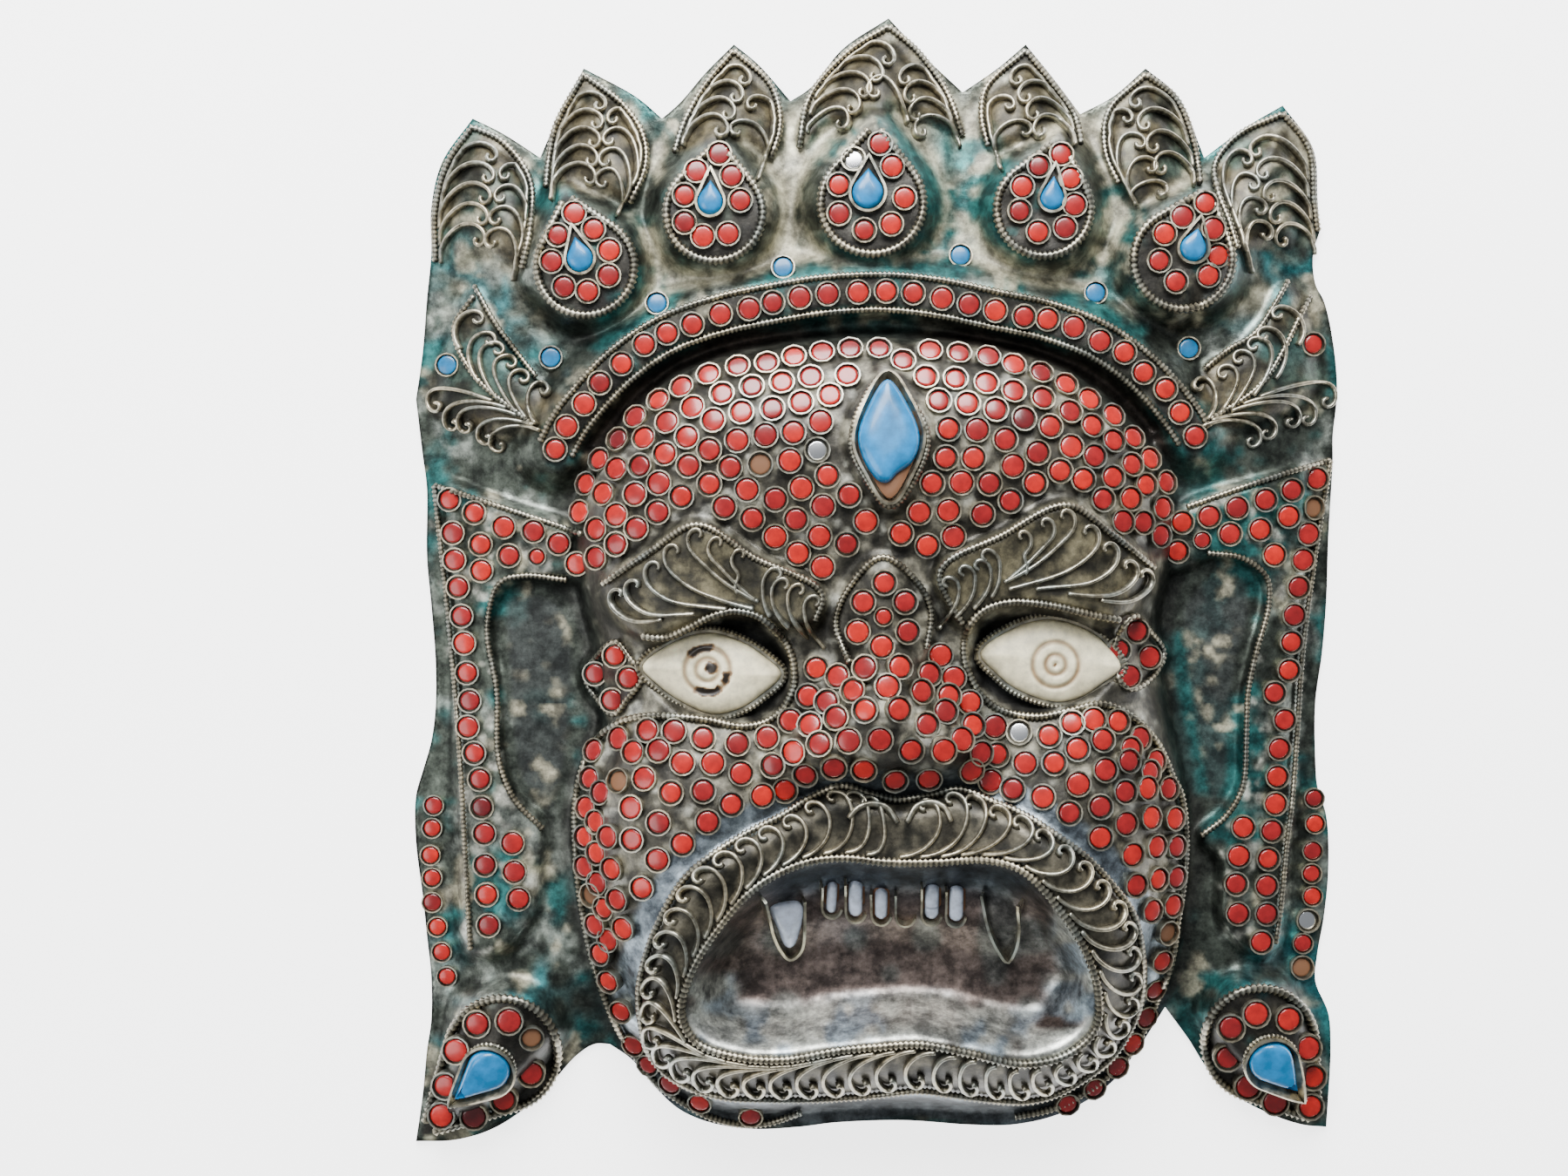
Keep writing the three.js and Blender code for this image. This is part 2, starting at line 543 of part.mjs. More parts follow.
// A closed skin between an upper and a lower height over every plan point.
function slab({ points, triangles }, upper, lower) {
  const skin = (height) => points.map((p) => standing(...p, height(...p)));
  const vertices = [...skin(upper), ...skin(lower)];
  const under = points.length;
  const faces = [];
  const open = new Map();
  for (const [a, b, c] of triangles) {
    faces.push(a, b, c, c + under, b + under, a + under);
    for (const [p, q] of [[a, b], [b, c], [c, a]]) {
      if (!open.delete(q + "," + p)) open.set(p + "," + q, [p, q]);
    }
  }
  for (const [p, q] of open.values()) faces.push(p + under, q + under, q, p + under, q, p);
  return solidFrom(vertices, faces);
}

function solidFrom(vertices, faces) {
  const geometry = new THREE.BufferGeometry().setFromPoints(vertices);
  geometry.setIndex(faces);
  return solidOf(geometry);
}

function solidOf(geometry) {
  const bare = geometry.clone();
  for (const name of ["normal", "uv"]) bare.deleteAttribute(name);
  const merged = mergeVertices(bare, 1e-4);
  const vertProperties = new Float32Array(merged.attributes.position.array);
  const triVerts = new Uint32Array(merged.index.array);
  return new wasm.Manifold(new wasm.Mesh({ numProp: 3, vertProperties, triVerts }));
}

function geometryOf(solid) {
  const mesh = solid.getMesh();
  const geometry = new THREE.BufferGeometry();
  geometry.setAttribute("position", new THREE.BufferAttribute(new Float32Array(mesh.vertProperties), 3));
  geometry.setIndex(new THREE.BufferAttribute(new Uint32Array(mesh.triVerts), 1));
  return geometry;
}

const facets = facetPlan();

// The back follows the front at the sheet's own thickness, measured square to the sheet.
function backOf(x, y) {
  const facing = facingAt(x, y, sheetThickness / 2);
  const drop = Math.min(steepestWall, 1 / Math.max(facing.z, 0.01)) * sheetThickness;
  return Math.max(0, relief(x, y) - drop);
}

// The height of the faceted sheet over a plan point.
const sheetFacets = facets.triangles.map((corners) => {
  const [a, b, c] = corners.map((i) => facets.points[i]);
  const [za, zb, zc] = corners.map((i) => facets.heights[i]);
  const area = (b[0] - a[0]) * (c[1] - a[1]) - (b[1] - a[1]) * (c[0] - a[0]);
  return { a, b, c, za, zb, zc, area, box: boundsOf([a, b, c]) };
});

function sheetHeight(x, y) {
  for (const { a, b, c, za, zb, zc, area, box } of sheetFacets) {
    if (x < box.left || x > box.right || y < box.low || y > box.high) continue;
    const q = ((x - a[0]) * (c[1] - a[1]) - (y - a[1]) * (c[0] - a[0])) / area;
    const r = ((b[0] - a[0]) * (y - a[1]) - (b[1] - a[1]) * (x - a[0])) / area;
    if (q >= 0 && r >= 0 && q + r <= 1) return za + q * (zb - za) + r * (zc - za);
  }
  return relief(x, y);
}

// The highest that the sheet comes around a cup's corner.
function clearHeight(x, y) {
  const around = [[0, 0], [cornerReach, 0], [-cornerReach, 0], [0, cornerReach], [0, -cornerReach]];
  return Math.max(...around.map(([dx, dy]) => sheetHeight(x + dx, y + dy)));
}

// Where a stone sits: its plan point, its real place on the sheet, and the way it faces.
const seatAt = ([x, y]) => ({
  plan: [x, y],
  point: standing(x, y, sheetHeight(x, y)),
  facing: facingAt(x, y, settingRadius),
});

const shell = slab(facets, relief, backOf);
const belowSeats = slab(facets, (x, y) => relief(x, y) + seatGap - seatTrim, () => -3 * settingHeight);

const materials = {
  metal: new THREE.MeshStandardMaterial({ color: 0x6f7468, roughness: 0.4, metalness: 0.85 }),
  coral: new THREE.MeshStandardMaterial({ color: 0xc0261f, roughness: 0.25, metalness: 0 }),
  turquoise: new THREE.MeshStandardMaterial({ color: 0x3a94c8, roughness: 0.3, metalness: 0 }),
  bone: new THREE.MeshStandardMaterial({ color: 0xe2d9bf, roughness: 0.45, metalness: 0 }),
  glass: new THREE.MeshStandardMaterial({ color: 0xd5dbe8, roughness: 0.2, metalness: 0 }),
};

const mask = new THREE.Group();
mask.name = "guardian_mask";
mask.position.set(-planMiddle[0] * planScale, -planMiddle[1] * planScale, 0);

function addMesh(name, solid, material) {
  const mesh = new THREE.Mesh(geometryOf(solid), material);
  mesh.name = name;
  mask.add(mesh);
}

// A stone of any outline: a straight edge, then a low crown.
function cabochon(plan, root, edge, crown) {
  const clockwise = THREE.ShapeUtils.isClockWise(plan.map(([x, y]) => new THREE.Vector2(x, y)));
  const line = clockwise ? [...plan].reverse() : plan;
  const centre = line.reduce((s, p) => [s[0] + p[0] / line.length, s[1] + p[1] / line.length], [0, 0]);
  const ring = (share, z) => line.map(([x, y]) => new THREE.Vector3(
    centre[0] + (x - centre[0]) * share, centre[1] + (y - centre[1]) * share, z));
  const rings = [ring(1, -root), ring(1, edge), ring(crownLevel, edge + crown * crownShoulder)];
  const middles = [-root, edge + crown].map((z) => new THREE.Vector3(...centre, z));
  const vertices = [...rings.flat(), ...middles];
  const n = line.length;
  const faces = [];
  for (let i = 0; i < n; i++) {
    const j = (i + 1) % n;
    for (const k of [0, n]) faces.push(i + k, j + k, j + k + n, i + k, j + k + n, i + k + n);
    faces.push(j, i, 3 * n, i + 2 * n, j + 2 * n, 3 * n + 1);
  }
  return { vertices, faces, centre };
}

// A cabochon cut to a plan outline and set on the sheet, square to it or level.
function setStone(name, line, edge, crown, material, level = false) {
  const { vertices, faces, centre } = cabochon(line, stoneRoot, edge, crown);
  const seat = seatAt(centre);
  const shrink = 1 - seat.point.z / eyeHeight;
  const tilt = new THREE.Quaternion();
  if (!level) tilt.setFromUnitVectors(new THREE.Vector3(0, 0, 1), seat.facing);
  const placed = vertices.map((v) => {
    const flat = new THREE.Vector3((v.x - centre[0]) * shrink, (v.y - centre[1]) * shrink, v.z);
    return flat.applyQuaternion(tilt).add(seat.point).addScaledVector(seat.facing, seatGap);
  });
  addMesh(name, solidFrom(placed, faces).subtract(belowSeats), material);
}

// A row of stones in their cups, joined at the foot. Each cup has six sides and follows the sheet under it.
function cupRow(spots, closed) {
  const stations = [];
  const station = (seat, along, forward, width, height) => {
    const side = new THREE.Vector3().crossVectors(along, seat.facing);
    for (const [share, lift] of [[0.5, 0], [0.5, height], [-0.5, height], [-0.5, 0]]) {
      const spread = 1 / (1 - seat.point.z / eyeHeight);
      const x = seat.plan[0] + (along.x * forward + side.x * share * width) * spread;
      const y = seat.plan[1] + (along.y * forward + side.y * share * width) * spread;
      stations.push(standing(x, y, clearHeight(x, y) + seatGap).addScaledVector(seat.facing, lift));
    }
  };
  const seats = spots.map(seatAt);
  const last = seats.length - 1;
  seats.forEach((seat, i) => {
    const before = seats[i - 1] ?? (closed ? seats[last] : seat);
    const after = seats[i + 1] ?? (closed ? seats[0] : seat);
    const along = after.point.clone().sub(before.point);
    if (!along.lengthSq()) along.set(1, 0, 0);
    along.projectOnPlane(seat.facing).normalize();
    if (!closed && i === 0) station(seat, along, -settingRadius, stripWidth, stripHeight);
    station(seat, along, -settingRadius / 2, settingRadius * Math.sqrt(3), settingHeight);
    station(seat, along, settingRadius / 2, settingRadius * Math.sqrt(3), settingHeight);
    const gap = after === seat ? settingRadius : seat.point.distanceTo(after.point) / 2;
    station(seat, along, gap, stripWidth, stripHeight);
  });
  const rings = stations.length / 4;
  const faces = [];
  for (let i = 0; i < (closed ? rings : rings - 1); i++) {
    for (let k = 0; k < 4; k++) {
      const [a, b] = [4 * i + k, 4 * i + ((k + 1) % 4)];
      const [c, d] = [a, b].map((n) => (n + 4) % stations.length);
      faces.push(a, c, d, a, d, b);
    }
  }
  const end = stations.length - 4;
  if (!closed) faces.push(0, 1, 2, 0, 2, 3, end, end + 2, end + 1, end, end + 3, end + 2);
  return solidFrom(stations, faces);
}

const addRow = (name, spots, material = materials.coral, closed = false) => {
  addMesh(name, cupRow(spots, closed), material);
};

const scaledSpots = (spots) => spots.map(([x, y]) => [x * planScale, y * planScale]);

// Round a drop: one stone past its point, then the others in a ring that opens at the point.
function ringSpots({ at, lean, ring, tipStone }, stones) {
  const step = (360 - ringOpening) / (stones - 1);
  const angles = Array.from({ length: stones }, (_, i) => 90 + lean + ringOpening / 2 + i * step);
  const spots = [[tipStone, 90 + lean], ...angles.map((angle) => [ring, angle])];
  return scaledSpots(spots.map(([r, angle]) => {
    const turn = THREE.MathUtils.degToRad(angle);
    return [at[0] + r * Math.cos(turn), at[1] + r * Math.sin(turn)];
  }));
}

function makeStones() {
  for (const [i, side] of ["left", "right"].entries()) {
    setStone(side + "_eye", smoothLine(eyePlans[i], true, eyeStep), eyeEdge, eyeCrown, materials.bone, true);
    const drop = dropLine(lowerDrops[i], lowerDropSteps);
    setStone("lower_drop_" + side, drop, dropHeight, dropCrown, materials.turquoise);
    addRow("lower_corals_" + side, ringSpots(lowerDrops[i], lowerRingStones), materials.coral, true);
    addRow("ear_corals_" + side, evenPoints(earRows[i]));
    addRow("ear_foot_corals_" + side, evenPoints(earFootRows[i]));
    addRow("edge_corals_" + side, evenPoints(edgeRows[i]));
    addRow("temple_corals_" + side, scaledSpots(templeStones[i]));
  }
  crownDrops.forEach((drop, i) => {
    const line = dropLine(drop, crownDropSteps);
    setStone("crown_drop_" + (i + 1), line, dropHeight, dropCrown, materials.turquoise);
    addRow("crown_corals_" + (i + 1), ringSpots(drop, crownRingStones), materials.coral, true);
  });
  const thirdEyeLine = smoothLine(thirdEyePlan, true, thirdEyeStep);
  setStone("third_eye_stone", thirdEyeLine, thirdEyeHeight, thirdEyeCrown, materials.turquoise);
  addRow("brow_band_corals", evenPoints({ through: bandPlan, count: bandStones }));
  addRow("nose_root_corals", scaledSpots(noseRootStones));
  scaledSpots(turquoiseDots).forEach((spot, i) => {
    addRow("turquoise_dot_" + (i + 1), [spot], materials.turquoise);
  });
  addRow("coral_dot", scaledSpots([coralDot]));
}

// A small tooth stands upright, with round ends.
function toothLine({ at, width, height }) {
  const line = [];
  for (let k = 0; k < toothSides; k++) {
    const a = ((k + 0.5) / toothSides) * 2 * Math.PI;
    const upwards = Math.sign(Math.sin(a)) * (height - width) / 2 + (width / 2) * Math.sin(a);
    line.push([at[0] + (width / 2) * Math.cos(a), at[1] + upwards]);
  }
  return scaledSpots(line);
}

function makeTeeth() {
  const addTooth = (name, line) => setStone(name, line, toothHeight, toothCrown, materials.glass);
  incisorPlans.forEach((plan, i) => addTooth("incisor_" + (i + 1), toothLine(plan)));
  addTooth("left_fang", smoothLine(fangPlan, true, fangStep));
}

addMesh("mask_shell", shell, materials.metal);
makeStones();
makeTeeth();

export default mask;
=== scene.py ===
import math

import bpy
import numpy as np
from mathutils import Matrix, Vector, geometry


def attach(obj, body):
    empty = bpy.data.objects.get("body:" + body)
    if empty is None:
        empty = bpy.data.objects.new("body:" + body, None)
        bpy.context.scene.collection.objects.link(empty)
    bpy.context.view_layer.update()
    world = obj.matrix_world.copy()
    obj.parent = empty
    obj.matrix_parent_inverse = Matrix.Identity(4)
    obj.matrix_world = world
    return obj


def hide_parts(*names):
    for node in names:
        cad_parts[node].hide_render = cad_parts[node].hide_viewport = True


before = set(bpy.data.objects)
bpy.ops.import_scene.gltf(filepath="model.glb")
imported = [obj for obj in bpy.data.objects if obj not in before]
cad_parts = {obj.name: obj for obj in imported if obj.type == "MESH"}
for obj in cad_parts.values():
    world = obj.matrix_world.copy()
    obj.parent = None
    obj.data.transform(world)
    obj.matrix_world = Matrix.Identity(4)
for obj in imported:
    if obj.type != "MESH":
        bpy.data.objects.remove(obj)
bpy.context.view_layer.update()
bpy.ops.object.select_all(action="DESELECT")
print("frame loaded")

# Lengths are millimetres until a piece is made. The plan is the photograph's own view of the mask.
photo = {"middle": (1010, 666), "perMm": 5}
eye = {"foot": (-22, -1.8), "height": 450}
planMiddle = (-0.8, 0.1)
seed = np.random.default_rng(7)
sides = ("left", "right")


def fromPhoto(points):
    cx, cy = photo["middle"]
    return [((x - cx) / photo["perMm"], (cy - y) / photo["perMm"]) for x, y in points]


def clamp01(t):
    return np.clip(t, 0, 1)


def ease(t):
    t = clamp01(t)
    return t * t * (3 - 2 * t)


def arch(t):
    return np.sqrt(1 - (1 - clamp01(t)) ** 2)


def mix(a, b, share):
    return a + (b - a) * share


def unit(vectors):
    return vectors / np.linalg.norm(vectors, axis=-1, keepdims=True)


def evenly(line, step):
    along = np.r_[0, np.cumsum(np.linalg.norm(np.diff(line, axis=0), axis=1))]
    count = max(2, round(along[-1] / step))
    at = np.linspace(0, along[-1], count + 1)
    return np.column_stack([np.interp(at, along, line[:, k]) for k in range(line.shape[1])])


spanSteps = 12


def smoothLine(points, closed=False, step=1.0):
    p = np.array(points, float)
    if closed:
        q = np.vstack([p[-1:], p, p[:2]])
    else:
        q = np.vstack([2 * p[:1] - p[1:2], p, 2 * p[-1:] - p[-2:-1]])
    t = np.linspace(0, 1, spanSteps + 1)[:-1, None]
    runs = []
    for a, b, c, d in zip(q, q[1:], q[2:], q[3:]):
        ab, bc, cd = (max(np.linalg.norm(m), 1e-6) ** 0.5 for m in (b - a, c - b, d - c))
        first = ((b - a) / ab - (c - a) / (ab + bc) + (c - b) / bc) * bc
        last = ((c - b) / bc - (d - b) / (bc + cd) + (d - c) / cd) * bc
        cubic = 2 * b - 2 * c + first + last
        square = -3 * b + 3 * c - 2 * first - last
        runs.append(((cubic * t + square) * t + first) * t + b)
    return evenly(np.vstack(runs + [q[-2:-1]]), step)


def offsetLine(line, distance):
    tangent = np.gradient(line, axis=0)
    tangent /= np.linalg.norm(tangent, axis=1)[:, None] + 1e-9
    return line + distance * np.column_stack([-tangent[:, 1], tangent[:, 0]])


def dropLine(at, radius, reach, lean, steps=40, gap=0.0):
    opening = math.acos(min(1, radius / reach))
    turn = math.pi / 2 + math.radians(lean)
    angles = turn + opening + np.linspace(0, 1, steps) * 2 * (math.pi - opening)
    ring = np.column_stack([at[0] + radius * np.cos(angles), at[1] + radius * np.sin(angles)])
    tip = np.array([[at[0] + reach * math.cos(turn), at[1] + reach * math.sin(turn)]])
    if gap:
        return np.vstack([mix(tip, ring[:1], gap), ring, mix(tip, ring[-1:], gap)])
    return np.vstack([tip, ring])


searchBatch = 3000000  # pairs of a point and an edge that are measured at once
farOutside = -1e3


def gapsTo(px, py, a, d):
    size = (d ** 2).sum(1) + 1e-12
    t = clamp01(((px - a[:, 0]) * d[:, 0] + (py - a[:, 1]) * d[:, 1]) / size)
    return np.sqrt(((px - a[:, 0] - t * d[:, 0]) ** 2 + (py - a[:, 1] - t * d[:, 1]) ** 2).min(1))


def inBatches(points, edges):
    return np.array_split(points, len(points) * edges // searchBatch + 1)


def depthIn(line, x, y, reach=1e4):
    depth = np.full(x.shape, farOutside)
    low, high = line.min(0) - reach, line.max(0) + reach
    near = np.flatnonzero((x > low[0]) & (x < high[0]) & (y > low[1]) & (y < high[1]))
    a, b = line, np.roll(line, -1, axis=0)
    d = b - a
    rise = np.where(abs(d[:, 1]) < 1e-9, 1e-9, d[:, 1])
    for part in inBatches(near, len(line)):
        px, py = x[part, None], y[part, None]
        gap = gapsTo(px, py, a, d)
        crossed = ((b[:, 1] > py) != (a[:, 1] > py)) & (px < (py - b[:, 1]) * d[:, 0] / rise + b[:, 0])
        depth[part] = np.where(crossed.sum(1) % 2 == 1, gap, -gap)
    return depth


def gapTo(line, x, y):
    a, d = line[:-1], np.diff(line, axis=0)
    gap = np.empty(x.shape)
    for part in inBatches(np.arange(len(x)), len(a)):
        gap[part] = gapsTo(x[part, None], y[part, None], a, d)
    return gap


outlineRuns = [  # each run starts at the corner where the one before it ends
    [[10.5, 120], [19, 112]],
    [[27, 117.5], [33.5, 123]],
    [[40, 115], [46, 107]],
    [[53.5, 111], [61, 117.5]],
    [[68.5, 111], [74.5, 97]],
    [[84, 104], [92.5, 109]],
    [[99.5, 99], [100.5, 87.5], [101, 80]],
    [[99.5, 75], [100, 68], [102, 64], [104, 55], [105, 43.5], [104, 33], [104, 27.5], [103, 10], [102.5, -5],
     [101.5, -17], [100, -28], [100, -41], [100.5, -47.5], [102.5, -54], [103, -66], [102, -77], [100.5, -85.5],
     [100, -92], [103, -99.5], [103.5, -108], [103, -118], [102.5, -125.5]],
    [[97, -125], [89.5, -122.5], [82, -118.5], [75.5, -112.5], [71, -105.5], [65.5, -98]],
    [[59, -108], [53.5, -115], [47.5, -119.5], [40, -123], [30.5, -125], [20.5, -125], [5.5, -124], [-10, -124.5],
     [-18.5, -125.5], [-29, -126], [-39, -124.5], [-46, -121.5], [-51.5, -116.5], [-57, -110], [-62, -106.5]],
    [[-65.5, -106.5], [-69.5, -109], [-75, -115], [-80.5, -120.5], [-89, -126], [-97.5, -128.5], [-106.5, -128.8]],
    [[-105, -118.5], [-104, -108], [-103, -101], [-103, -91], [-104, -81.5], [-105, -72], [-106.5, -60],
     [-106.5, -49.5], [-105, -44], [-103, -37], [-102, -29], [-102, -18.5], [-103, -5.5], [-104, 5.5], [-104, 21],
     [-105, 29], [-106.5, 41.5]],
    [[-105, 52], [-104, 64.5], [-103, 75], [-103, 85.5], [-100.5, 96], [-93.5, 106]],
    [[-86.5, 102.5], [-78, 97]],
    [[-74.5, 105], [-68, 117.5]],
    [[-56, 111], [-50, 106]],
    [[-46, 109.5], [-40, 116.5], [-33.5, 123]],
    [[-28, 118.5], [-20.5, 110]],
    [[-16, 113], [-8.5, 122], [2, 129]],
]

# Each leaf from its tip clockwise: its outline, where its wire ends, the lowest and highest curl of each side.
leafPlans = [
    {
        "line": [[2, 127], [8.5, 121.5], [15, 112.5], [19, 102], [16, 103], [6, 107.5], [-1, 105.5], [-10, 105],
                 [-18.5, 99], [-16, 111], [-7.5, 121]],
        "ends": (3, 8),
        "curls": [((-8.8, 104.4), (1.5, 119), 5), ((9.4, 102.6), (5.6, 114.5), 4)],
        "extra": ((6.2, 104.8), (-1, 111.6)),
    },
    {
        "line": [[-33.5, 121.5], [-25, 113.5], [-23, 105], [-25, 97], [-30, 99.5], [-37, 101], [-43, 99], [-47, 98],
                 [-45, 104.5], [-40.5, 113]],
        "ends": (3, 7),
        "curls": [((-36.7, 102.6), (-31.4, 114.4), 4), ((-33.2, 102.8), (-29.6, 108.8), 2)],
    },
    {
        "line": [[-68, 116], [-59, 109], [-54.5, 102], [-54, 95], [-57.5, 86.5], [-62, 88], [-69, 89], [-76.5, 90],
                 [-76, 96], [-74.5, 104]],
        "ends": (4, 7),
        "curls": [((-66.6, 91.8), (-64.4, 108.6), 5), ((-63.6, 91.2), (-61.4, 105.4), 4)],
    },
    {
        "line": [[-93.5, 104], [-86.5, 100.5], [-80.5, 92], [-80, 82], [-82, 71.5], [-90, 75], [-98, 72], [-102, 73],
                 [-102, 85.5], [-99, 96]],
        "ends": (4, 7),
        "curls": [((-91.9, 78), (-89.4, 96.8), 5), ((-88.9, 77.6), (-86.2, 92.6), 4)],
    },
    {
        "line": [[33.5, 121.5], [40, 113.5], [44.5, 107], [46, 100], [41, 101.5], [34, 100], [25, 99.5],
                 [23.5, 106.5], [24.5, 113]],
        "ends": (3, 6),
        "curls": [((33.4, 102.8), (29.8, 108.8), 2), ((36.9, 102.6), (31.6, 114.4), 4)],
    },
    {
        "line": [[61, 116], [68, 110.5], [72, 100.5], [73.5, 91], [68, 88], [58.5, 86], [55, 91], [52, 98],
                 [52.5, 107.5]],
        "ends": (3, 6),
        "curls": [((64.6, 88.8), (57, 105.6), 4), ((64.4, 94.2), (59, 109.2), 4)],
    },
    {
        "line": [[92.5, 107], [98.5, 99], [99.5, 87.5], [100.5, 80], [98, 73], [90, 77], [82, 76], [80, 82.5],
                 [77.5, 89], [77, 95.5], [82, 102]],
        "ends": (3, 6),
        "curls": [((88.4, 79.4), (84.4, 96), 4), ((92.2, 78), (86.6, 98), 5)],
    },
]
sideLeafPlans = [
    [[-93, 67.5], [-89, 59.5], [-85, 52.5], [-78.5, 45.5], [-71.5, 42], [-74, 37], [-79, 34], [-86, 32], [-94, 35],
     [-102, 37], [-105, 42], [-103, 49], [-99.5, 55.5]],
    [[94, 69], [98, 65.5], [101, 60], [102.5, 53], [103, 43.5], [98, 41], [90, 37.5], [82, 35], [75, 35.5],
     [73.5, 42], [74.5, 49.5], [81, 52.5], [87.5, 60], [90.5, 67]],
]
crownBosses = [
    {"at": (-67.6, 72), "radius": 11, "reach": 16.6, "lean": 15},
    {"at": (-38, 84.4), "radius": 10.9, "reach": 16, "lean": -3},
    {"at": (-1.8, 86.6), "radius": 11.6, "reach": 18, "lean": -2},
    {"at": (37.6, 85.2), "radius": 10.6, "reach": 16.2, "lean": -13},
    {"at": (69.6, 73.6), "radius": 11.2, "reach": 17, "lean": -20},
]
lowerBosses = [
    {"at": (-86.6, -108.8), "radius": 12.6, "reach": 26, "lean": 135},
    {"at": (87.2, -106.4), "radius": 12.6, "reach": 22, "lean": -143},
]
crownDrops = [
    {"at": (-68.8, 73.7), "radius": 3.7, "reach": 7.2, "lean": 13},
    {"at": (-38.9, 86.7), "radius": 3.6, "reach": 7, "lean": -1},
    {"at": (-2.8, 88.8), "radius": 4.4, "reach": 8, "lean": -2},
    {"at": (39.4, 87.5), "radius": 3.4, "reach": 7.2, "lean": -5},
    {"at": (71.7, 76.1), "radius": 3.7, "reach": 6.6, "lean": -14},
]
lowerDrops = [
    {"at": (-89.8, -112.4), "radius": 4.8, "reach": 10.4, "lean": 133},
    {"at": (89.8, -110.5), "radius": 4.9, "reach": 10, "lean": -140},
]
bandPlan = [[-74.4, 30], [-71.8, 35.2], [-67.8, 40.6], [-59.2, 49.6], [-48.8, 56.6], [-36.6, 61], [-24.6, 63.6],
            [-12, 65.6], [1.4, 66.2], [14.2, 64.8], [26.4, 62.2], [38.4, 59.6], [50.4, 55], [60.4, 47.8],
            [68.8, 38.4], [72.2, 33]]
facePlan = [[-70, 5], [-69.5, 15], [-66, 25], [-59.5, 36], [-51.5, 44], [-41.5, 50], [-29.5, 53.5], [-14, 55.5],
            [0.5, 56], [14.5, 55.5], [28.5, 53.5], [40.5, 49.5], [51, 43], [59, 35], [65.5, 25], [67.5, 15], [67, 5],
            [64, -7], [64.5, -19], [67, -33], [69.5, -47], [70, -61], [69, -77], [66, -91], [59.5, -105], [50, -116],
            [38, -121.5], [22, -123], [0, -122.5], [-22, -123.5], [-36, -123.5], [-47, -118.5], [-56.5, -108.5],
            [-63, -95], [-67, -79], [-69.5, -62], [-68.5, -45], [-64, -34], [-64.5, -19], [-67.5, -7]]
browPlans = [
    [[-63.5, -1], [-53, 6], [-42, 12.5], [-29, 5], [-13.5, -3], [-15, -9], [-22, -10], [-28, -7.5], [-33.5, -6.5],
     [-42, -9], [-49.5, -12.5], [-55, -12.5], [-59.5, -9]],
    [[14, 2], [28, 10], [43, 17], [53, 10.5], [62.5, 3], [61, -3], [55, -9], [48, -7], [39.5, -5], [30, -4.5],
     [23.5, -7], [19, -10]],
]
socketPlans = [
    [[-55.5, -19.5], [-49.5, -13.5], [-39, -9], [-28, -9], [-21, -16], [-20, -25], [-26, -32], [-32.5, -33],
     [-39, -32.5], [-49, -28]],
    [[56.5, -19], [48.5, -10], [39.5, -7], [30, -7], [23.5, -9], [20.5, -15], [21, -23], [24, -27.5], [30, -30.5],
     [38, -31], [47, -28]],
]
eyePlans = [
    [[-54.4, -19.8], [-48, -14.6], [-39.2, -12], [-31, -14.4], [-26, -17.8], [-22.6, -21.4], [-28, -26.8],
     [-32.8, -29.6], [-38.4, -30.6], [-46, -27.4], [-51, -23.8]],
    [[22.8, -16.8], [30, -11.2], [39, -9], [48, -11.8], [52, -15.2], [55, -20], [50.4, -23.8], [45.6, -26.8],
     [40, -27.8], [31, -24.8], [26, -20.8]],
]
noseRootPlan = [[-6.6, -19], [-10, -10], [-7.6, -3], [0.4, 5], [8.4, -0.5], [11.6, -7], [10.4, -16], [6, -21],
                [-1, -22]]
thirdEyePlan = [[1.8, 46], [6.4, 40], [9, 33], [7, 25.6], [2.2, 18.6], [-2.2, 24.4], [-5, 31.6], [-2.6, 40]]
templePlans = [
    [[-67.5, -22], [-65, -18], [-60.5, -14], [-57, -18], [-54.5, -22.5], [-57.5, -27], [-61, -31], [-64, -28]],
    [[54.5, -12.5], [58.5, -8], [61.5, -11.5], [65, -17], [60.5, -24], [57, -25], [54.5, -22]],
]
lipPlan = [[-2.5, -49], [4, -50.5], [11.5, -49.5], [18, -48], [24.5, -50.5], [33, -54], [40, -58.5], [47.5, -64],
           [53.5, -70.5], [58, -77], [60, -86.5], [60, -95], [57.5, -102.5], [53, -109.5], [46.5, -114.5], [40, -118],
           [33, -119.5], [24.5, -119], [17, -118], [9, -117], [-1, -118], [-15, -119], [-27, -119], [-35.5, -118.5],
           [-43, -116.5], [-49, -113], [-53, -108], [-54.5, -102], [-55, -94], [-53, -85], [-49.5, -76.5],
           [-44.5, -68.5], [-38, -63], [-30, -58], [-22, -54], [-15, -49.5], [-9, -47]]
mouthPlan = [[1.5, -64.5], [13, -64.5], [24.5, -64], [33, -66.5], [42, -76], [47.5, -85], [50, -93.5], [49.5, -102.5],
             [43.5, -108.5], [33, -111], [20.5, -108.5], [9, -106.5], [0, -107], [-10, -108], [-22, -110],
             [-32, -109.5], [-42, -106], [-45.5, -100], [-44, -91], [-38, -80.5], [-29, -70.5], [-18.5, -65],
             [-9, -63.5]]
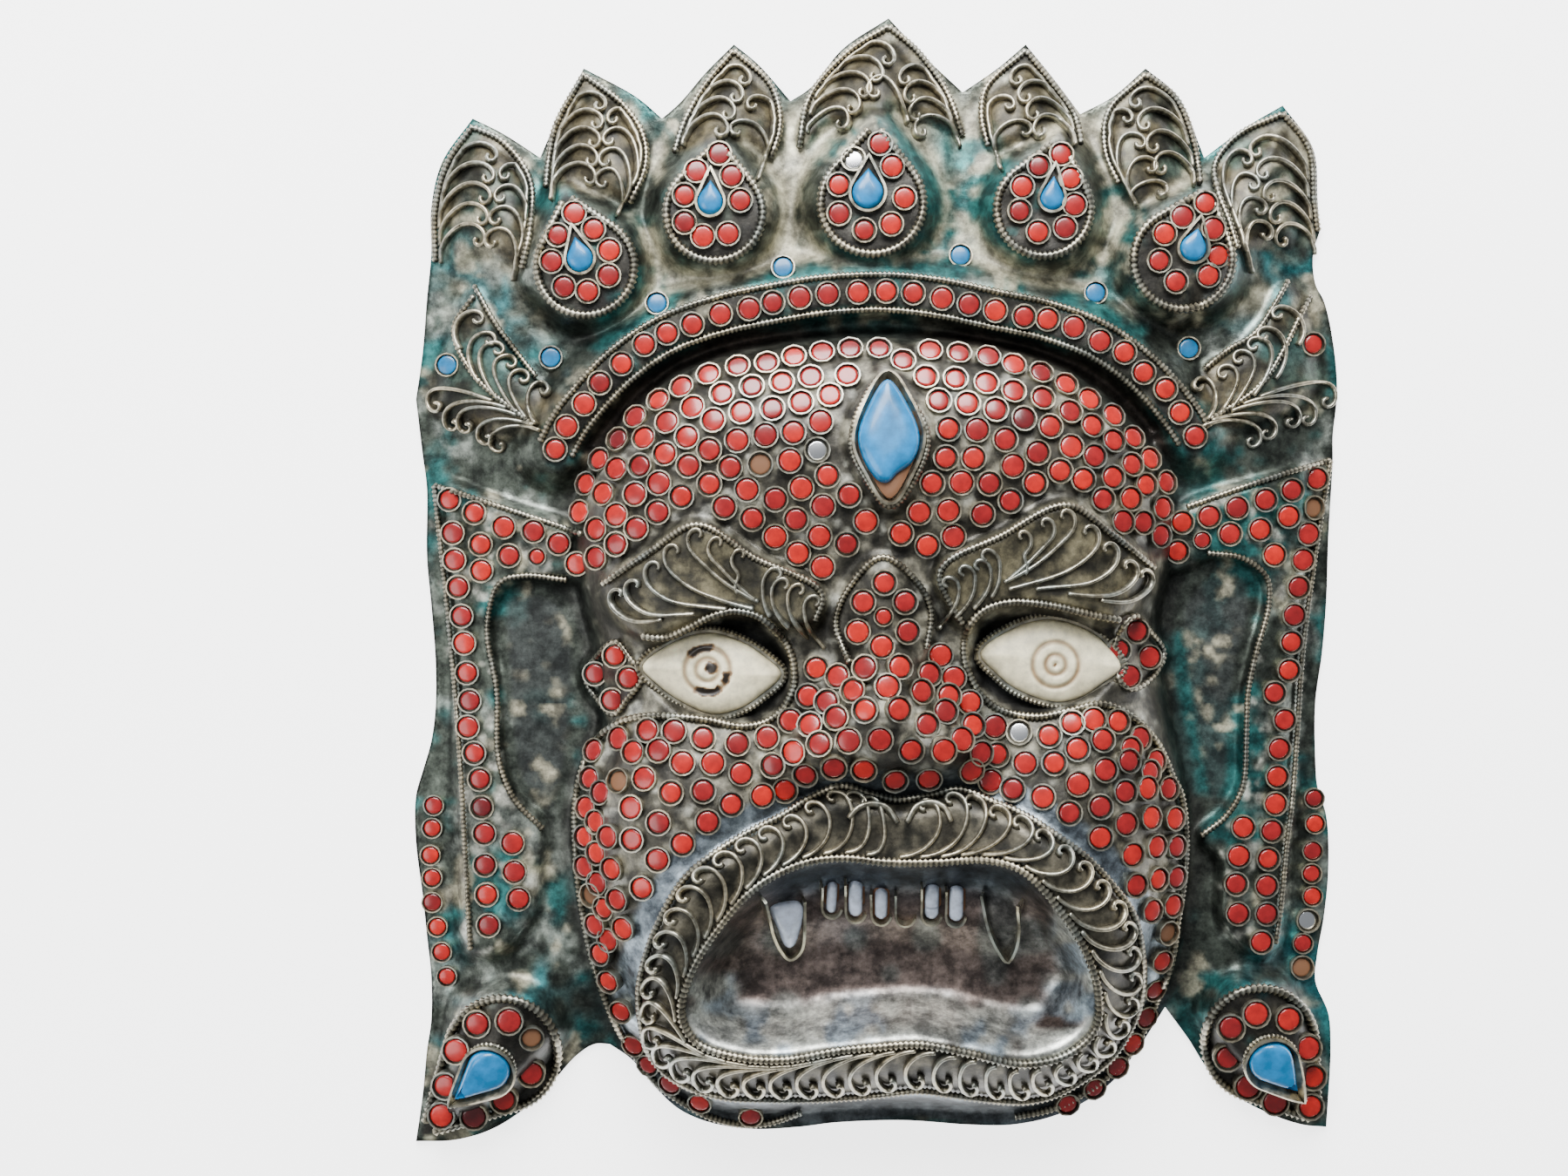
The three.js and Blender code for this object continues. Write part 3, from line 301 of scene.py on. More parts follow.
earPlans = [
    [[-102, 21.5], [-85, 16.5], [-68.5, 10.5], [-64.5, 5], [-66, 0.5], [-71.5, 0.5], [-79.5, 1], [-85.5, -0.5],
     [-89.5, -6], [-90, -14], [-88.5, -25], [-88, -37], [-87, -44], [-84, -50.5], [-77.5, -57], [-79, -67],
     [-79.5, -76], [-87, -84.5], [-94, -85], [-95, -63], [-96.5, -37], [-99, -7]],
    [[103, 26.5], [87, 22], [70.5, 16.5], [65.5, 12], [64.5, 4], [70, 3], [75, 6], [83.5, 5], [88.5, 1], [89.5, -5],
     [86.5, -17], [84.5, -26], [84, -36], [83.5, -47.5], [79.5, -54], [74, -59], [78.5, -64], [78.5, -77], [82, -82],
     [87, -86], [90.5, -84], [92, -75], [93, -62], [94.5, -50.5], [95.5, -34.5], [97, -17], [100, 6]],
]
earHollowPlans = [
    [[-86, -4], [-76, -3], [-71, -8], [-70, -24], [-72, -44], [-76, -54], [-82, -48], [-85, -36], [-86, -18]],
    [[84, 1], [76, 1.5], [69, -6], [70, -22], [73, -40], [76, -52], [80, -48], [81, -34], [83, -18], [86, -6]],
]
gumLine = [[-24, -75], [-12, -72.5], [3, -72], [16, -73], [28, -76]]
crownCreases = [
    [[-78, 97], [-80.5, 80], [-77, 58]],
    [[-50, 106], [-53, 86], [-52, 70]],
    [[-20.5, 110], [-20, 92], [-22, 78]],
    [[19, 112], [18.5, 94], [18, 80]],
    [[46, 107], [52, 88], [50, 72]],
    [[74.5, 97], [79, 80], [72, 60]],
]


grid = {"left": -112.0, "low": -134.0, "cell": 0.75, "columns": 299, "rows": 357}
form = {
    "thickness": 1, "rimWidth": 2.6, "rimSlope": 5, "groundRise": 5, "groundSlope": 16,
    "leafRise": 3.4, "leafSlope": 5, "bossRise": 8.5, "bossSlope": 6, "lowerBossRise": 9,
    "bandRise": 7, "bandHalfWidth": 4, "bandOuterSlope": 7, "bandInnerSlope": 2.4,
    "faceRise": 24, "faceSlope": 20, "browRise": 5, "browSlope": 2,
    "socketFloor": 18.4, "socketSlope": 3, "socketEdge": 0.5, "plaqueRise": 2.4, "plaqueSlope": 2, "thirdEyePad": 2,
    "templeRise": 5, "lipRise": 6, "lipSlope": 5.5,
    "mouthDepth": 17, "mouthWalls": (7, 13), "mouthFoot": 3, "mouthFootFade": 6,
    "gumRise": 5, "gumHalfWidth": 7, "gumTop": 1.6, "earRise": 4.2, "earSlope": 1.8, "earDip": 3.4, "hollowSlope": 3,
    "ledgeRise": 11, "ledgeWidth": 5.2, "ledgeStep": 1.8, "ledgeEdge": 1.8, "ledgeTilt": 1.2,
    "ledgeTop": (-36, 8), "ledgeFoot": (-108, 12), "creaseDepth": 1.8, "creaseWidth": 3.5,
    "hammered": (0.5, 11, 1), "dented": (0.16, 3.5, 2),  # depth, size and number of the draw
    "softening": 0.75, "mouthSoftening": 2.6, "broadSoftening": 2.2,
}


# The rise of forehead, cheeks, bridge, nose and nostrils: each has its centre, half width, and reach up and down.
swellings = [
    (5.5, [((1, 26), 60, 30, 36)]), (7, [((-44, -60), 27, 32, 40), ((45, -58), 27, 32, 40)]), (6, [((1, -20), 11, 26)]),
    (13, [((0.5, -38), 24, 22, 12)]), (6, [((-16, -41), 11, 9), ((17, -40), 11, 9)]),
]
blurSpread = 0.8
mottling = {"cells": 64, "shift": (31.7, 27.3)}


def blur(field, reach):
    cells = max(1, round(reach / grid["cell"]))
    weights = np.exp(-0.5 * (np.arange(-2 * cells, 2 * cells + 1) / (cells * blurSpread)) ** 2)
    weights /= weights.sum()
    padded = np.pad(field, 2 * cells, mode="edge")
    rows = sum(w * padded[:, k:k + field.shape[1]] for k, w in enumerate(weights))
    return sum(w * rows[k:k + field.shape[0]] for k, w in enumerate(weights))


def mottle(x, y, size, draw):
    cells, shift = mottling["cells"], mottling["shift"]
    values = np.random.default_rng(draw).random((cells, cells)) - 0.5
    u, v = x / size + shift[0], y / size + shift[1]
    i, j = np.floor(u).astype(int), np.floor(v).astype(int)
    s, t = ease(u - i), ease(v - j)
    low, high = (mix(values[(j + b) % cells, i % cells], values[(j + b) % cells, (i + 1) % cells], s) for b in (0, 1))
    return 2 * mix(low, high, t)


def swelling(x, y, centre, across, up, down=None):
    dy = y - centre[1]
    r = ((x - centre[0]) / across) ** 2 + (dy / np.where(dy > 0, up, down or up)) ** 2
    return clamp01(1 - r) ** 1.4


def outlineOf(runs):
    corner, lines = runs[-1][-1], []
    for run in runs:
        lines.append(smoothLine([corner] + run)[:-1])
        corner = run[-1]
    return np.vstack(lines)


outline = outlineOf(outlineRuns)
regions = {
    "face": smoothLine(facePlan, True, 2), "noseRoot": smoothLine(noseRootPlan, True),
    "thirdEye": smoothLine(thirdEyePlan, True), "lips": smoothLine(lipPlan, True, 1.5),
    "mouth": smoothLine(mouthPlan, True, 1.5),
}
bandLine = smoothLine(bandPlan, step=2)
gx, gy = np.meshgrid(
    grid["left"] + grid["cell"] * np.arange(grid["columns"]), grid["low"] + grid["cell"] * np.arange(grid["rows"]))
x, y = gx.ravel(), gy.ravel()


def inAny(plans, reach, shape):
    best = np.zeros(x.shape)
    for plan in plans:
        best = np.maximum(best, shape(depthIn(np.asarray(plan), x, y, reach)))
    return best


def closedLines(plans):
    return [smoothLine(plan, True) for plan in plans]


def above(value, start, soft):
    return ease((value - start) / soft)


def below(value, start, soft):
    return ease(1 - (value - start) / soft)


def table(slope):
    return lambda depth: ease(1 + np.minimum(0, depth) / slope)


def ledgeOf(f, face):
    upper = f["ledgeWidth"] + f["ledgeStep"]
    stepRise = f["faceRise"] * arch(upper / f["faceSlope"]) - f["ledgeRise"] - f["ledgeTilt"]
    ledge = f["ledgeRise"] * arch(face / f["ledgeEdge"]) + f["ledgeTilt"] * clamp01(face / f["ledgeWidth"])
    ledge += stepRise * above(face, f["ledgeWidth"], f["ledgeStep"])
    top, fade = f["ledgeTop"]
    foot, footFade = f["ledgeFoot"]
    return ledge, upper, ease((top - y) / fade) * above(y, foot, footFade) * (face > 0)


def shapeSheet():
    f = form
    edge = depthIn(outline[::3], x, y)
    face = depthIn(regions["face"], x, y, 1)
    dome = f["faceRise"] * arch(face / f["faceSlope"])
    ledge, upper, side = ledgeOf(f, face)
    z = mix(dome, np.where(face < upper, ledge, dome), side)
    for rise, places in swellings:
        z += rise * np.max([swelling(x, y, *place) for place in places], axis=0)

    leaves = closedLines([leaf["line"] for leaf in leafPlans] + sideLeafPlans)
    leaf = f["leafRise"] * inAny(leaves, 1, lambda depth: arch(depth / f["leafSlope"]))
    bosses = inAny([dropLine(**boss) for boss in crownBosses], 9, table(f["bossSlope"]))
    away = gapTo(bandLine, x, y)
    slope = np.where(depthIn(bandLine, x, y) > 0, f["bandInnerSlope"], f["bandOuterSlope"])
    band = f["bandRise"] * ease(1 - np.maximum(0, away - f["bandHalfWidth"]) / slope)
    crown = np.maximum(np.maximum(leaf, f["bossRise"] * bosses), band)
    ears = f["earRise"] * inAny(closedLines(earPlans), 5, table(f["earSlope"]))
    hollows = inAny(closedLines(earHollowPlans), 1, lambda depth: ease(depth / f["hollowSlope"]))
    lower = inAny([dropLine(**boss) for boss in lowerBosses], 9, table(f["bossSlope"]))
    z = np.maximum(z, np.maximum(crown, np.maximum(ears, f["lowerBossRise"] * lower) - f["earDip"] * hollows))
    z = np.maximum(z, f["templeRise"] * inAny(closedLines(templePlans), 4, table(f["plaqueSlope"])) + z / 2)
    browDepth = inAny(closedLines(browPlans), 3, table(f["browSlope"]))
    z += f["browRise"] * browDepth
    plaque = table(f["plaqueSlope"])
    z += f["plaqueRise"] * plaque(depthIn(regions["noseRoot"], x, y, 3))
    z += f["plaqueRise"] * plaque(depthIn(regions["thirdEye"], x, y, 6) + f["thirdEyePad"])
    lips = depthIn(regions["lips"], x, y, 8)
    z += f["lipRise"] * arch(lips / f["lipSlope"])
    sockets = inAny(closedLines(socketPlans), 1, lambda depth: ease((depth + f["socketEdge"]) / f["socketSlope"]))
    z += (f["socketFloor"] - z) * sockets
    mouth = depthIn(regions["mouth"], x, y, 1)
    low = regions["mouth"][:, 1].min()
    steep, gentle = f["mouthWalls"]
    sunk = ease(mouth / mix(steep, gentle, ease((low + f["mouthDepth"] + f["mouthFoot"] - y) / f["mouthFootFade"])))
    gum = f["gumRise"] * ease(f["gumTop"] - gapTo(smoothLine(gumLine, step=3), x, y) / f["gumHalfWidth"])
    z -= sunk * (f["mouthDepth"] - gum)
    for crease in crownCreases:
        z -= f["creaseDepth"] * ease(1 - gapTo(smoothLine(crease, step=3), x, y) / f["creaseWidth"])
    z += sum(depth * mottle(x, y, size, draw) for depth, size, draw in (f["hammered"], f["dented"]))
    rim = above(edge, f["rimWidth"], f["rimSlope"])
    ground = f["groundRise"] * above(edge, f["rimWidth"], f["groundSlope"])
    surface = f["thickness"] + ground + np.maximum(z, -1) * rim
    masks = {
        "face": face, "lips": lips, "mouth": mouth, "sockets": sockets, "brows": browDepth, "hollows": hollows,
        "leaves": leaf / f["leafRise"], "bosses": np.maximum(bosses, lower), "band": away,
        "ears": ears / f["earRise"],
    }
    surface = blur(surface.reshape(gx.shape), f["softening"])
    return mix(surface, blur(surface, f["mouthSoftening"]), above(mouth.reshape(gx.shape), 1, 4)), masks


height, masks = shapeSheet()


def standing(px, py, pz):
    share = 1 - pz / eye["height"]
    fx, fy = eye["foot"]
    return np.stack([fx + (px - fx) * share, fy + (py - fy) * share, pz], axis=-1)


def facingOf(surface):
    facing = np.cross(np.gradient(surface, axis=1), np.gradient(surface, axis=0))
    return unit(facing)


facing = facingOf(standing(gx, gy, height))
broadFacing = facingOf(standing(gx, gy, blur(height, form["broadSoftening"])))


def crestOf(surface):
    padded = np.pad(surface, 1, mode="edge")
    rows, columns = surface.shape
    return np.max([padded[1 + j:1 + j + rows, 1 + i:1 + i + columns] for i in (-1, 0, 1) for j in (-1, 0, 1)], axis=0)


topHeight = crestOf(height)


def sample(field, px, py):
    u = np.clip((px - grid["left"]) / grid["cell"], 0, grid["columns"] - 1.001)
    v = np.clip((py - grid["low"]) / grid["cell"], 0, grid["rows"] - 1.001)
    i, j = u.astype(int), v.astype(int)
    s, t = u - i, v - j
    if field.ndim == 3:
        s, t = s[..., None], t[..., None]
    return mix(mix(field[j, i], field[j, i + 1], s), mix(field[j + 1, i], field[j + 1, i + 1], s), t)


print("form of the sheet found")


def newMaterial(name, **constants):
    material = bpy.data.materials.new(name)
    material.use_nodes = True
    shader = material.node_tree.nodes["Principled BSDF"]
    for key, value in constants.items():
        shader.inputs[key.replace("_", " ")].default_value = value
    return material, material.node_tree, shader


def noiseNode(tree, scale, detail=4, roughness=0.6):
    place = tree.nodes.new("ShaderNodeTexCoord")
    noise = tree.nodes.new("ShaderNodeTexNoise")
    for key, number in (("Scale", scale), ("Detail", detail), ("Roughness", roughness)):
        noise.inputs[key].default_value = number
    tree.links.new(place.outputs["Object"], noise.inputs["Vector"])
    return noise.outputs["Fac"]


def rangeNode(tree, value, low, high, toLow=0, toHigh=1):
    node = tree.nodes.new("ShaderNodeMapRange")
    for key, number in zip(("From Min", "From Max", "To Min", "To Max"), (low, high, toLow, toHigh)):
        node.inputs[key].default_value = number
    tree.links.new(value, node.inputs["Value"])
    return node.outputs["Result"]


def mixNode(tree, share, a, b, blend="MIX"):
    node = tree.nodes.new("ShaderNodeMix")
    node.data_type = "RGBA"
    node.blend_type = blend
    for key, value in (("Factor", share), ("A", a), ("B", b)):
        socket = [s for s in node.inputs if s.name == key and (s.type == "RGBA" or key == "Factor") and s.enabled][0]
        if isinstance(value, bpy.types.NodeSocket):
            tree.links.new(value, socket)
        else:
            socket.default_value = value
    return [s for s in node.outputs if s.enabled][0]


def attributeNode(tree, name):
    node = tree.nodes.new("ShaderNodeAttribute")
    node.attribute_name = name
    return node


def bumpNode(tree, shader, value, strength, distance):
    node = tree.nodes.new("ShaderNodeBump")
    node.inputs["Strength"].default_value = strength
    node.inputs["Distance"].default_value = distance
    tree.links.new(value, node.inputs["Height"])
    tree.links.new(node.outputs["Normal"], shader.inputs["Normal"])


def grey(level):
    return level, level, level, 1


sheetFinish = {
    "fine": (420, 8, 0.7), "fineRange": (0.35, 0.68), "fineTones": (grey(0.5), grey(1.45)),
    "spots": (190, 6, 0.68), "spotRange": (0.4, 0.62), "spotTones": (grey(0.42), (1.35, 1.35, 1.3, 1)),
    "broad": (90, 5), "roughness": (0.3, 0.7, 0.3, 0.5), "bump": (0.25, 0.0006),
}


def sheetMaterial():
    look = sheetFinish
    material, tree, shader = newMaterial("silvered_sheet", Specular_IOR_Level=0.4)
    fine, broad, spots = (noiseNode(tree, *look[key]) for key in ("fine", "broad", "spots"))
    fineTone = mixNode(tree, rangeNode(tree, fine, *look["fineRange"]), *look["fineTones"])
    spotTone = mixNode(tree, rangeNode(tree, spots, *look["spotRange"]), *look["spotTones"])
    tinted = mixNode(tree, 1, attributeNode(tree, "tint").outputs["Color"], fineTone, "MULTIPLY")
    tree.links.new(mixNode(tree, 1, tinted, spotTone, "MULTIPLY"), shader.inputs["Base Color"])
    tree.links.new(attributeNode(tree, "wear").outputs["Fac"], shader.inputs["Metallic"])
    tree.links.new(rangeNode(tree, broad, *look["roughness"]), shader.inputs["Roughness"])
    bumpNode(tree, shader, fine, *look["bump"])
    return material


wireFinish = {
    "silver": (0.56, 0.5, 0.36, 1), "dull": (0.34, 0.36, 0.32, 1), "grime": (0.16, 0.14, 0.1, 1),
    "creviceShade": (0.025, 0.022, 0.018, 1), "broad": (70, 5), "broadRange": (0.42, 0.62), "fine": (500, 3),
    "fineRange": (0.35, 0.6, 0.3, 1), "roughness": (0.3, 0.7, 0.26, 0.46),
}


def wireMaterial():
    look = wireFinish
    material, tree, shader = newMaterial("setting_wire", Metallic=0.9)
    broad, fine = (noiseNode(tree, *look[key]) for key in ("broad", "fine"))
    metal = mixNode(tree, rangeNode(tree, broad, *look["broadRange"]), look["silver"], look["dull"])
    worn = mixNode(tree, rangeNode(tree, fine, *look["fineRange"]), look["grime"], metal)
    # Low tone mixes in painted shade: between beads, on the cups' walls and wells, and on every second ring of milled
    # wire.
    colour = mixNode(tree, attributeNode(tree, "tone").outputs["Fac"], look["creviceShade"], worn)
    tree.links.new(colour, shader.inputs["Base Color"])
    tree.links.new(rangeNode(tree, fine, *look["roughness"]), shader.inputs["Roughness"])
    return material


stoneGrain = {"noise": (420, 4), "range": (0.35, 0.65), "tones": (grey(0.72), grey(1.1))}


def stoneMaterial(name, bright, middle, dark, **constants):
    material, tree, shader = newMaterial(name, **constants)
    tone = attributeNode(tree, "tone").outputs["Fac"]
    lower = mixNode(tree, rangeNode(tree, tone, 0, 0.5), dark, middle)
    base = mixNode(tree, rangeNode(tree, tone, 0.5, 1), lower, bright)
    fine = noiseNode(tree, *stoneGrain["noise"])
    grain = mixNode(tree, rangeNode(tree, fine, *stoneGrain["range"]), *stoneGrain["tones"])
    tree.links.new(mixNode(tree, 1, base, grain, "MULTIPLY"), shader.inputs["Base Color"])
    return material


materials = {
    "sheet": sheetMaterial(),
    "wire": wireMaterial(),
    "coral": stoneMaterial("coral", (0.52, 0.012, 0.006, 1), (0.28, 0.008, 0.01, 1), (0.07, 0.005, 0.007, 1),
                           Roughness=0.26, Coat_Weight=0.4, Coat_Roughness=0.12),
    "turquoise": stoneMaterial("turquoise", (0.0, 0.23, 0.56, 1), (0.002, 0.13, 0.3, 1), (0.01, 0.06, 0.12, 1),
                               Roughness=0.3, Coat_Weight=0.3, Coat_Roughness=0.1),
    "bone": stoneMaterial("bone", (1.0, 0.92, 0.63, 1), (0.28, 0.17, 0.08, 1), (0.01, 0.009, 0.009, 1), Roughness=0.42),
    "glass": stoneMaterial("white_glass", (0.72, 0.8, 0.95, 1), (0.5, 0.56, 0.68, 1), (0.3, 0.34, 0.42, 1),
                           Roughness=0.12, Coat_Weight=0.7, Coat_Roughness=0.06),
    "foil": newMaterial("bare_foil", Base_Color=(0.75, 0.76, 0.78, 1), Metallic=1.0, Roughness=0.24)[0],
    "cement": newMaterial("brown_cement", Base_Color=(0.16, 0.07, 0.03, 1), Roughness=0.7)[0],
}


def shade(piece, angle):
    piece.select_set(True)
    bpy.context.view_layer.objects.active = piece
    if angle:
        bpy.ops.object.shade_smooth_by_angle(angle=math.radians(angle))
    else:
        bpy.ops.object.shade_smooth()
    piece.select_set(False)


settingAngle, stoneAngle, studAngle = 40, 50, 60  # degrees over which a piece's edges stay sharp


def addPiece(name, parts, material, replaced=(), angle=0, extra=None):
    vertices = np.vstack([v for v, _ in parts])
    vertices[:, 2] = np.maximum(vertices[:, 2], 0)  # nothing reaches below the rim it lies on
    faces, start = [], 0
    for v, f in parts:
        faces += [[i + start for i in face] for face in f]
        start += len(v)
    mesh = bpy.data.meshes.new(name)
    middle = np.array([planMiddle[0], planMiddle[1], 0])
    mesh.from_pydata(((vertices[:, :3] - middle) / 1000).tolist(), [], faces)
    for key, values in {"tone": vertices[:, 3], **(extra or {})}.items():
        if values.ndim == 2:
            rgba = np.column_stack([values, np.ones(len(values))])
            colour = mesh.attributes.new(key, "FLOAT_COLOR", "POINT")
            colour.data.foreach_set("color", rgba.astype(np.float32).ravel())
        else:
            mesh.attributes.new(key, "FLOAT", "POINT").data.foreach_set("value", values.astype(np.float32))
    mesh.materials.append(materials[material])
    piece = bpy.data.objects.new(name, mesh)
    bpy.context.collection.objects.link(piece)
    shade(piece, angle)
    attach(piece, "root")
    if replaced:
        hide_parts(*replaced)


def triangulated(line, spacing, keepOff=0.45):
    if clockwise(line):
        line = line[::-1]
    low, high = line.min(0), line.max(0)
    points = []
    for k, row in enumerate(np.arange(low[1], high[1], spacing * math.sqrt(3) / 2)):
        across = np.arange(low[0] + (k % 2) * spacing / 2, high[0], spacing)
        points.append(np.column_stack([across, np.full(len(across), row)]))
    points = np.vstack(points)
    points = points[depthIn(line, points[:, 0], points[:, 1]) > keepOff * spacing]
    every = [Vector(p) for p in np.vstack([line, points]).tolist()]
    made = geometry.delaunay_2d_cdt(every, [], [list(range(len(line)))], 1, 1e-6, False)
    corners = np.array([tuple(v) for v in made[0]])
    triangles = np.array([list(f) for f in made[2] if len(f) == 3])
    a, b, c = (corners[triangles[:, k]] for k in range(3))
    area = (b[:, 0] - a[:, 0]) * (c[:, 1] - a[:, 1]) - (b[:, 1] - a[:, 1]) * (c[:, 0] - a[:, 0])
    triangles[area < 0] = triangles[area < 0][:, ::-1]
    middle = (a + b + c) / 3
    return corners, triangles[depthIn(line, middle[:, 0], middle[:, 1]) > 0]


def closedSkin(front, back, triangles):
    count = len(front)
    edges = np.vstack([triangles[:, [0, 1]], triangles[:, [1, 2]], triangles[:, [2, 0]]])
    known = set(map(tuple, edges.tolist()))
    walls = [[b, a, a + count, b + count] for a, b in known if (b, a) not in known]
    faces = triangles.tolist() + (triangles[:, ::-1] + count).tolist() + walls
    return np.vstack([front, back]), faces


def clockwise(line):
    nextPoint = np.roll(line, -1, axis=0)
    return (line[:, 0] * nextPoint[:, 1] - nextPoint[:, 0] * line[:, 1]).sum() < 0


def anticlockwise(line):
    return line[::-1] if clockwise(line) else line


sheetLook = {
    "spacing": 1.02, "wear": 0.85, "insideWear": 0.8, "inside": (0.13, 0.125, 0.1),
    "olive": (0.07, 0.082, 0.07), "pale": (0.27, 0.3, 0.27), "teal": (0.025, 0.12, 0.118), "chalk": (0.5, 0.5, 0.44),
    "bright": (0.012, 0.2, 0.24), "dust": (0.42, 0.39, 0.28), "leaf": (0.09, 0.076, 0.045),
    "under": (0.03, 0.028, 0.024), "bandGrooveShade": (0.12, 0.06, 0.05), "field": (0.045, 0.042, 0.034),
    "fieldDust": (0.27, 0.255, 0.2), "brow": (0.13, 0.115, 0.072), "browDark": (0.022, 0.021, 0.016),
    "mouth": (0.15, 0.115, 0.105), "mouthGrey": (0.11, 0.12, 0.115), "mouthTopShade": (0.045, 0.055, 0.07),
    "paleWallAndHighlight": (0.66, 0.68, 0.64), "mouthBlue": (0.38, 0.46, 0.54), "bare": (0.26, 0.31, 0.36),
    "lip": (0.095, 0.086, 0.064), "socket": (0.012, 0.012, 0.012), "earHollow": (0.045, 0.052, 0.05),
    "paintedHollowShade": (0.03, 0.03, 0.027),
}


# Layers of mottling: the share, the size in millimetres and the number of the draw of each.
speckles = {
    "patches": [(1, 13, 3), (0.6, 5, 4), (0.3, 2, 5)], "grains": [(1, 9, 6), (0.6, 3, 7), (0.4, 1.6, 15)],
    "leaf": [(1, 4, 16)], "earDust": [(1, 4, 17), (0.5, 1.8, 18)], "scuffs": [(1, 7, 19), (0.5, 2.2, 20)],
    "tarnish": [(1, 3, 21)], "chalk": [(0.7, 4, 23), (0.7, 1.7, 26)], "field": [(1, 4.5, 9), (0.7, 1.9, 22)],
    "mouthGrey": [(1, 8, 10)], "paleWallAndHighlight": [(1, 5, 11)], "mouthBlue": [(1, 6, 24), (0.5, 2.5, 25)],
}


def speckled(name):
    return sum(share * mottle(x, y, size, draw) for share, size, draw in speckles[name])


brightSpots = {"feet": [(-88, -96, 24, 0.8), (95, -92, 20)], "ends": [(-88, 66, 26), (88, 66, 24)]}


def nearTo(across, up, reach, squash=1):
    return ease(1 - np.hypot(x - across, (y - up) * squash) / reach)


def tintOf():
    look, m = sheetLook, masks
    hollow = (blur(height, 5) - height).ravel()
    tint = np.tile(look["olive"], (len(x), 1)).astype(float)
    wear = np.full(len(x), look["wear"])

    def paint(colour, share, metal=None):
        share = clamp01(share)
        tint[:] = mix(tint, np.array(look[colour]), share[:, None])
        if metal is not None:
            wear[:] = mix(wear, metal, share)

    outside = below(m["face"], -2, 3)
    onLeaves, inHollows = ease(m["leaves"] / 0.6), ease(m["hollows"] * 1.5)
    patches, grains, chalky, speckle = (speckled(name) for name in ("patches", "grains", "chalk", "field"))
    paint("pale", above(grains, 0.3, 0.6) * outside)
    paint("leaf", onLeaves * above(speckled("leaf"), -1, 0.6), 0.3)
    paint("earHollow", inHollows, 0.5)
    paint("teal", above(patches, -0.1, 0.6) * outside * (1 - 0.6 * onLeaves) * (1 - 0.8 * inHollows), 0.6)
    feet, ends = (sum(nearTo(*place) for place in brightSpots[key]) for key in ("feet", "ends"))
    paint("bright", above(patches, -0.6, 0.8) * (feet + 0.6 * ends) * outside * 0.85, 0.5)
    dusty = above(hollow, 0.3, 1.6) * above(y, 55, 12) * outside
    dusty += inHollows * above(speckled("earDust"), 0.1, 0.4)
    paint("dust", dusty * above(grains, -0.5, 0.7) * 0.85, 0.1)
    paint("dust", above(speckled("scuffs"), 0.62, 0.25) * outside * 0.8, 0.1)
    # Painted shade: a dark reddish-brown strip in the groove between the brow band and the forehead.
    paint("bandGrooveShade", ease(1 - abs(m["band"] - 7.5) / 3) * above(m["face"], -6, 3) * above(y, 20, 15), 0.9)
    tops = above(m["bosses"], 0.93, 0.06)
    paint("under", np.maximum(tops, below(m["band"], 3, 1)) * above(speckled("tarnish"), -1.1, 0.8), 0.5)
    paint("chalk", ease(m["ears"]) * above(chalky, 0.35, 0.2) * outside * 0.8, 0.1)
    field = above(m["face"], 0.5, 1.5) * (1 - m["brows"]) * ease(-(m["lips"] + 3) / 2)
    paint("field", field, 0.5)
    paint("fieldDust", field * above(speckle, 0.05, 0.5) * 0.9, 0.15)
    paint("chalk", field * above(chalky, 0.5, 0.2) * 0.7, 0.1)
    paint("bare", above(m["lips"], -6.5, 1.5) * ease(-m["lips"]) * ease((-42 - y) / 4), 0.9)
    onLips = ease(m["lips"]) * ease(1 - m["mouth"])
    paint("lip", onLips, 0.5)
    paint("browDark", onLips * above(speckle, 0.1, 0.4))
    paint("brow", m["brows"], 0.25)
    paint("browDark", m["brows"] * above(speckle, -0.05, 0.5) * 0.85)
    paint("browDark", onLeaves * above(speckle, 0.05, 0.5) * 0.85)
    inMouth = ease(m["mouth"] / 2)
    paint("mouth", inMouth, 0.8)
    paint("mouthGrey", inMouth * above(speckled("mouthGrey"), 0.1, 0.4) * 0.7)
    # Painted shade: the top of the mouth, under the upper lip, is darkened.
    paint("mouthTopShade", inMouth * above(y, -76, 7), 0.85)
    # The lower wall and the right side of the mouth take a pale colour: partly the metal's own pale tone, partly a
    # painted highlight where light falls on these walls.
    wall = below(m["mouth"], 8, 6) * ease((-89 - y) / 5) + above(x, 38, 5) * below(m["mouth"], 4, 5)
    paint("paleWallAndHighlight", inMouth * wall * above(speckled("paleWallAndHighlight"), -0.9, 0.6), 0.85)
    paint("mouthBlue", inMouth * wall * above(speckled("mouthBlue"), 0.1, 0.4))
    # Painted shade: the sheet inside the eye sockets is made nearly black.
    paint("socket", m["sockets"], 0.2)
    # Painted shade: the sheet is darkened wherever it lies lower than the sheet around it, except in the mouth and
    # where dust lies.
    paintedHollowShade = above(hollow, 1.2, 2.5) * (1 - inMouth) * (1 - clamp01(dusty))
    paint("paintedHollowShade", paintedHollowShade * 0.8, 0.5)
    return tint.reshape(gx.shape + (3,)), wear.reshape(gx.shape)


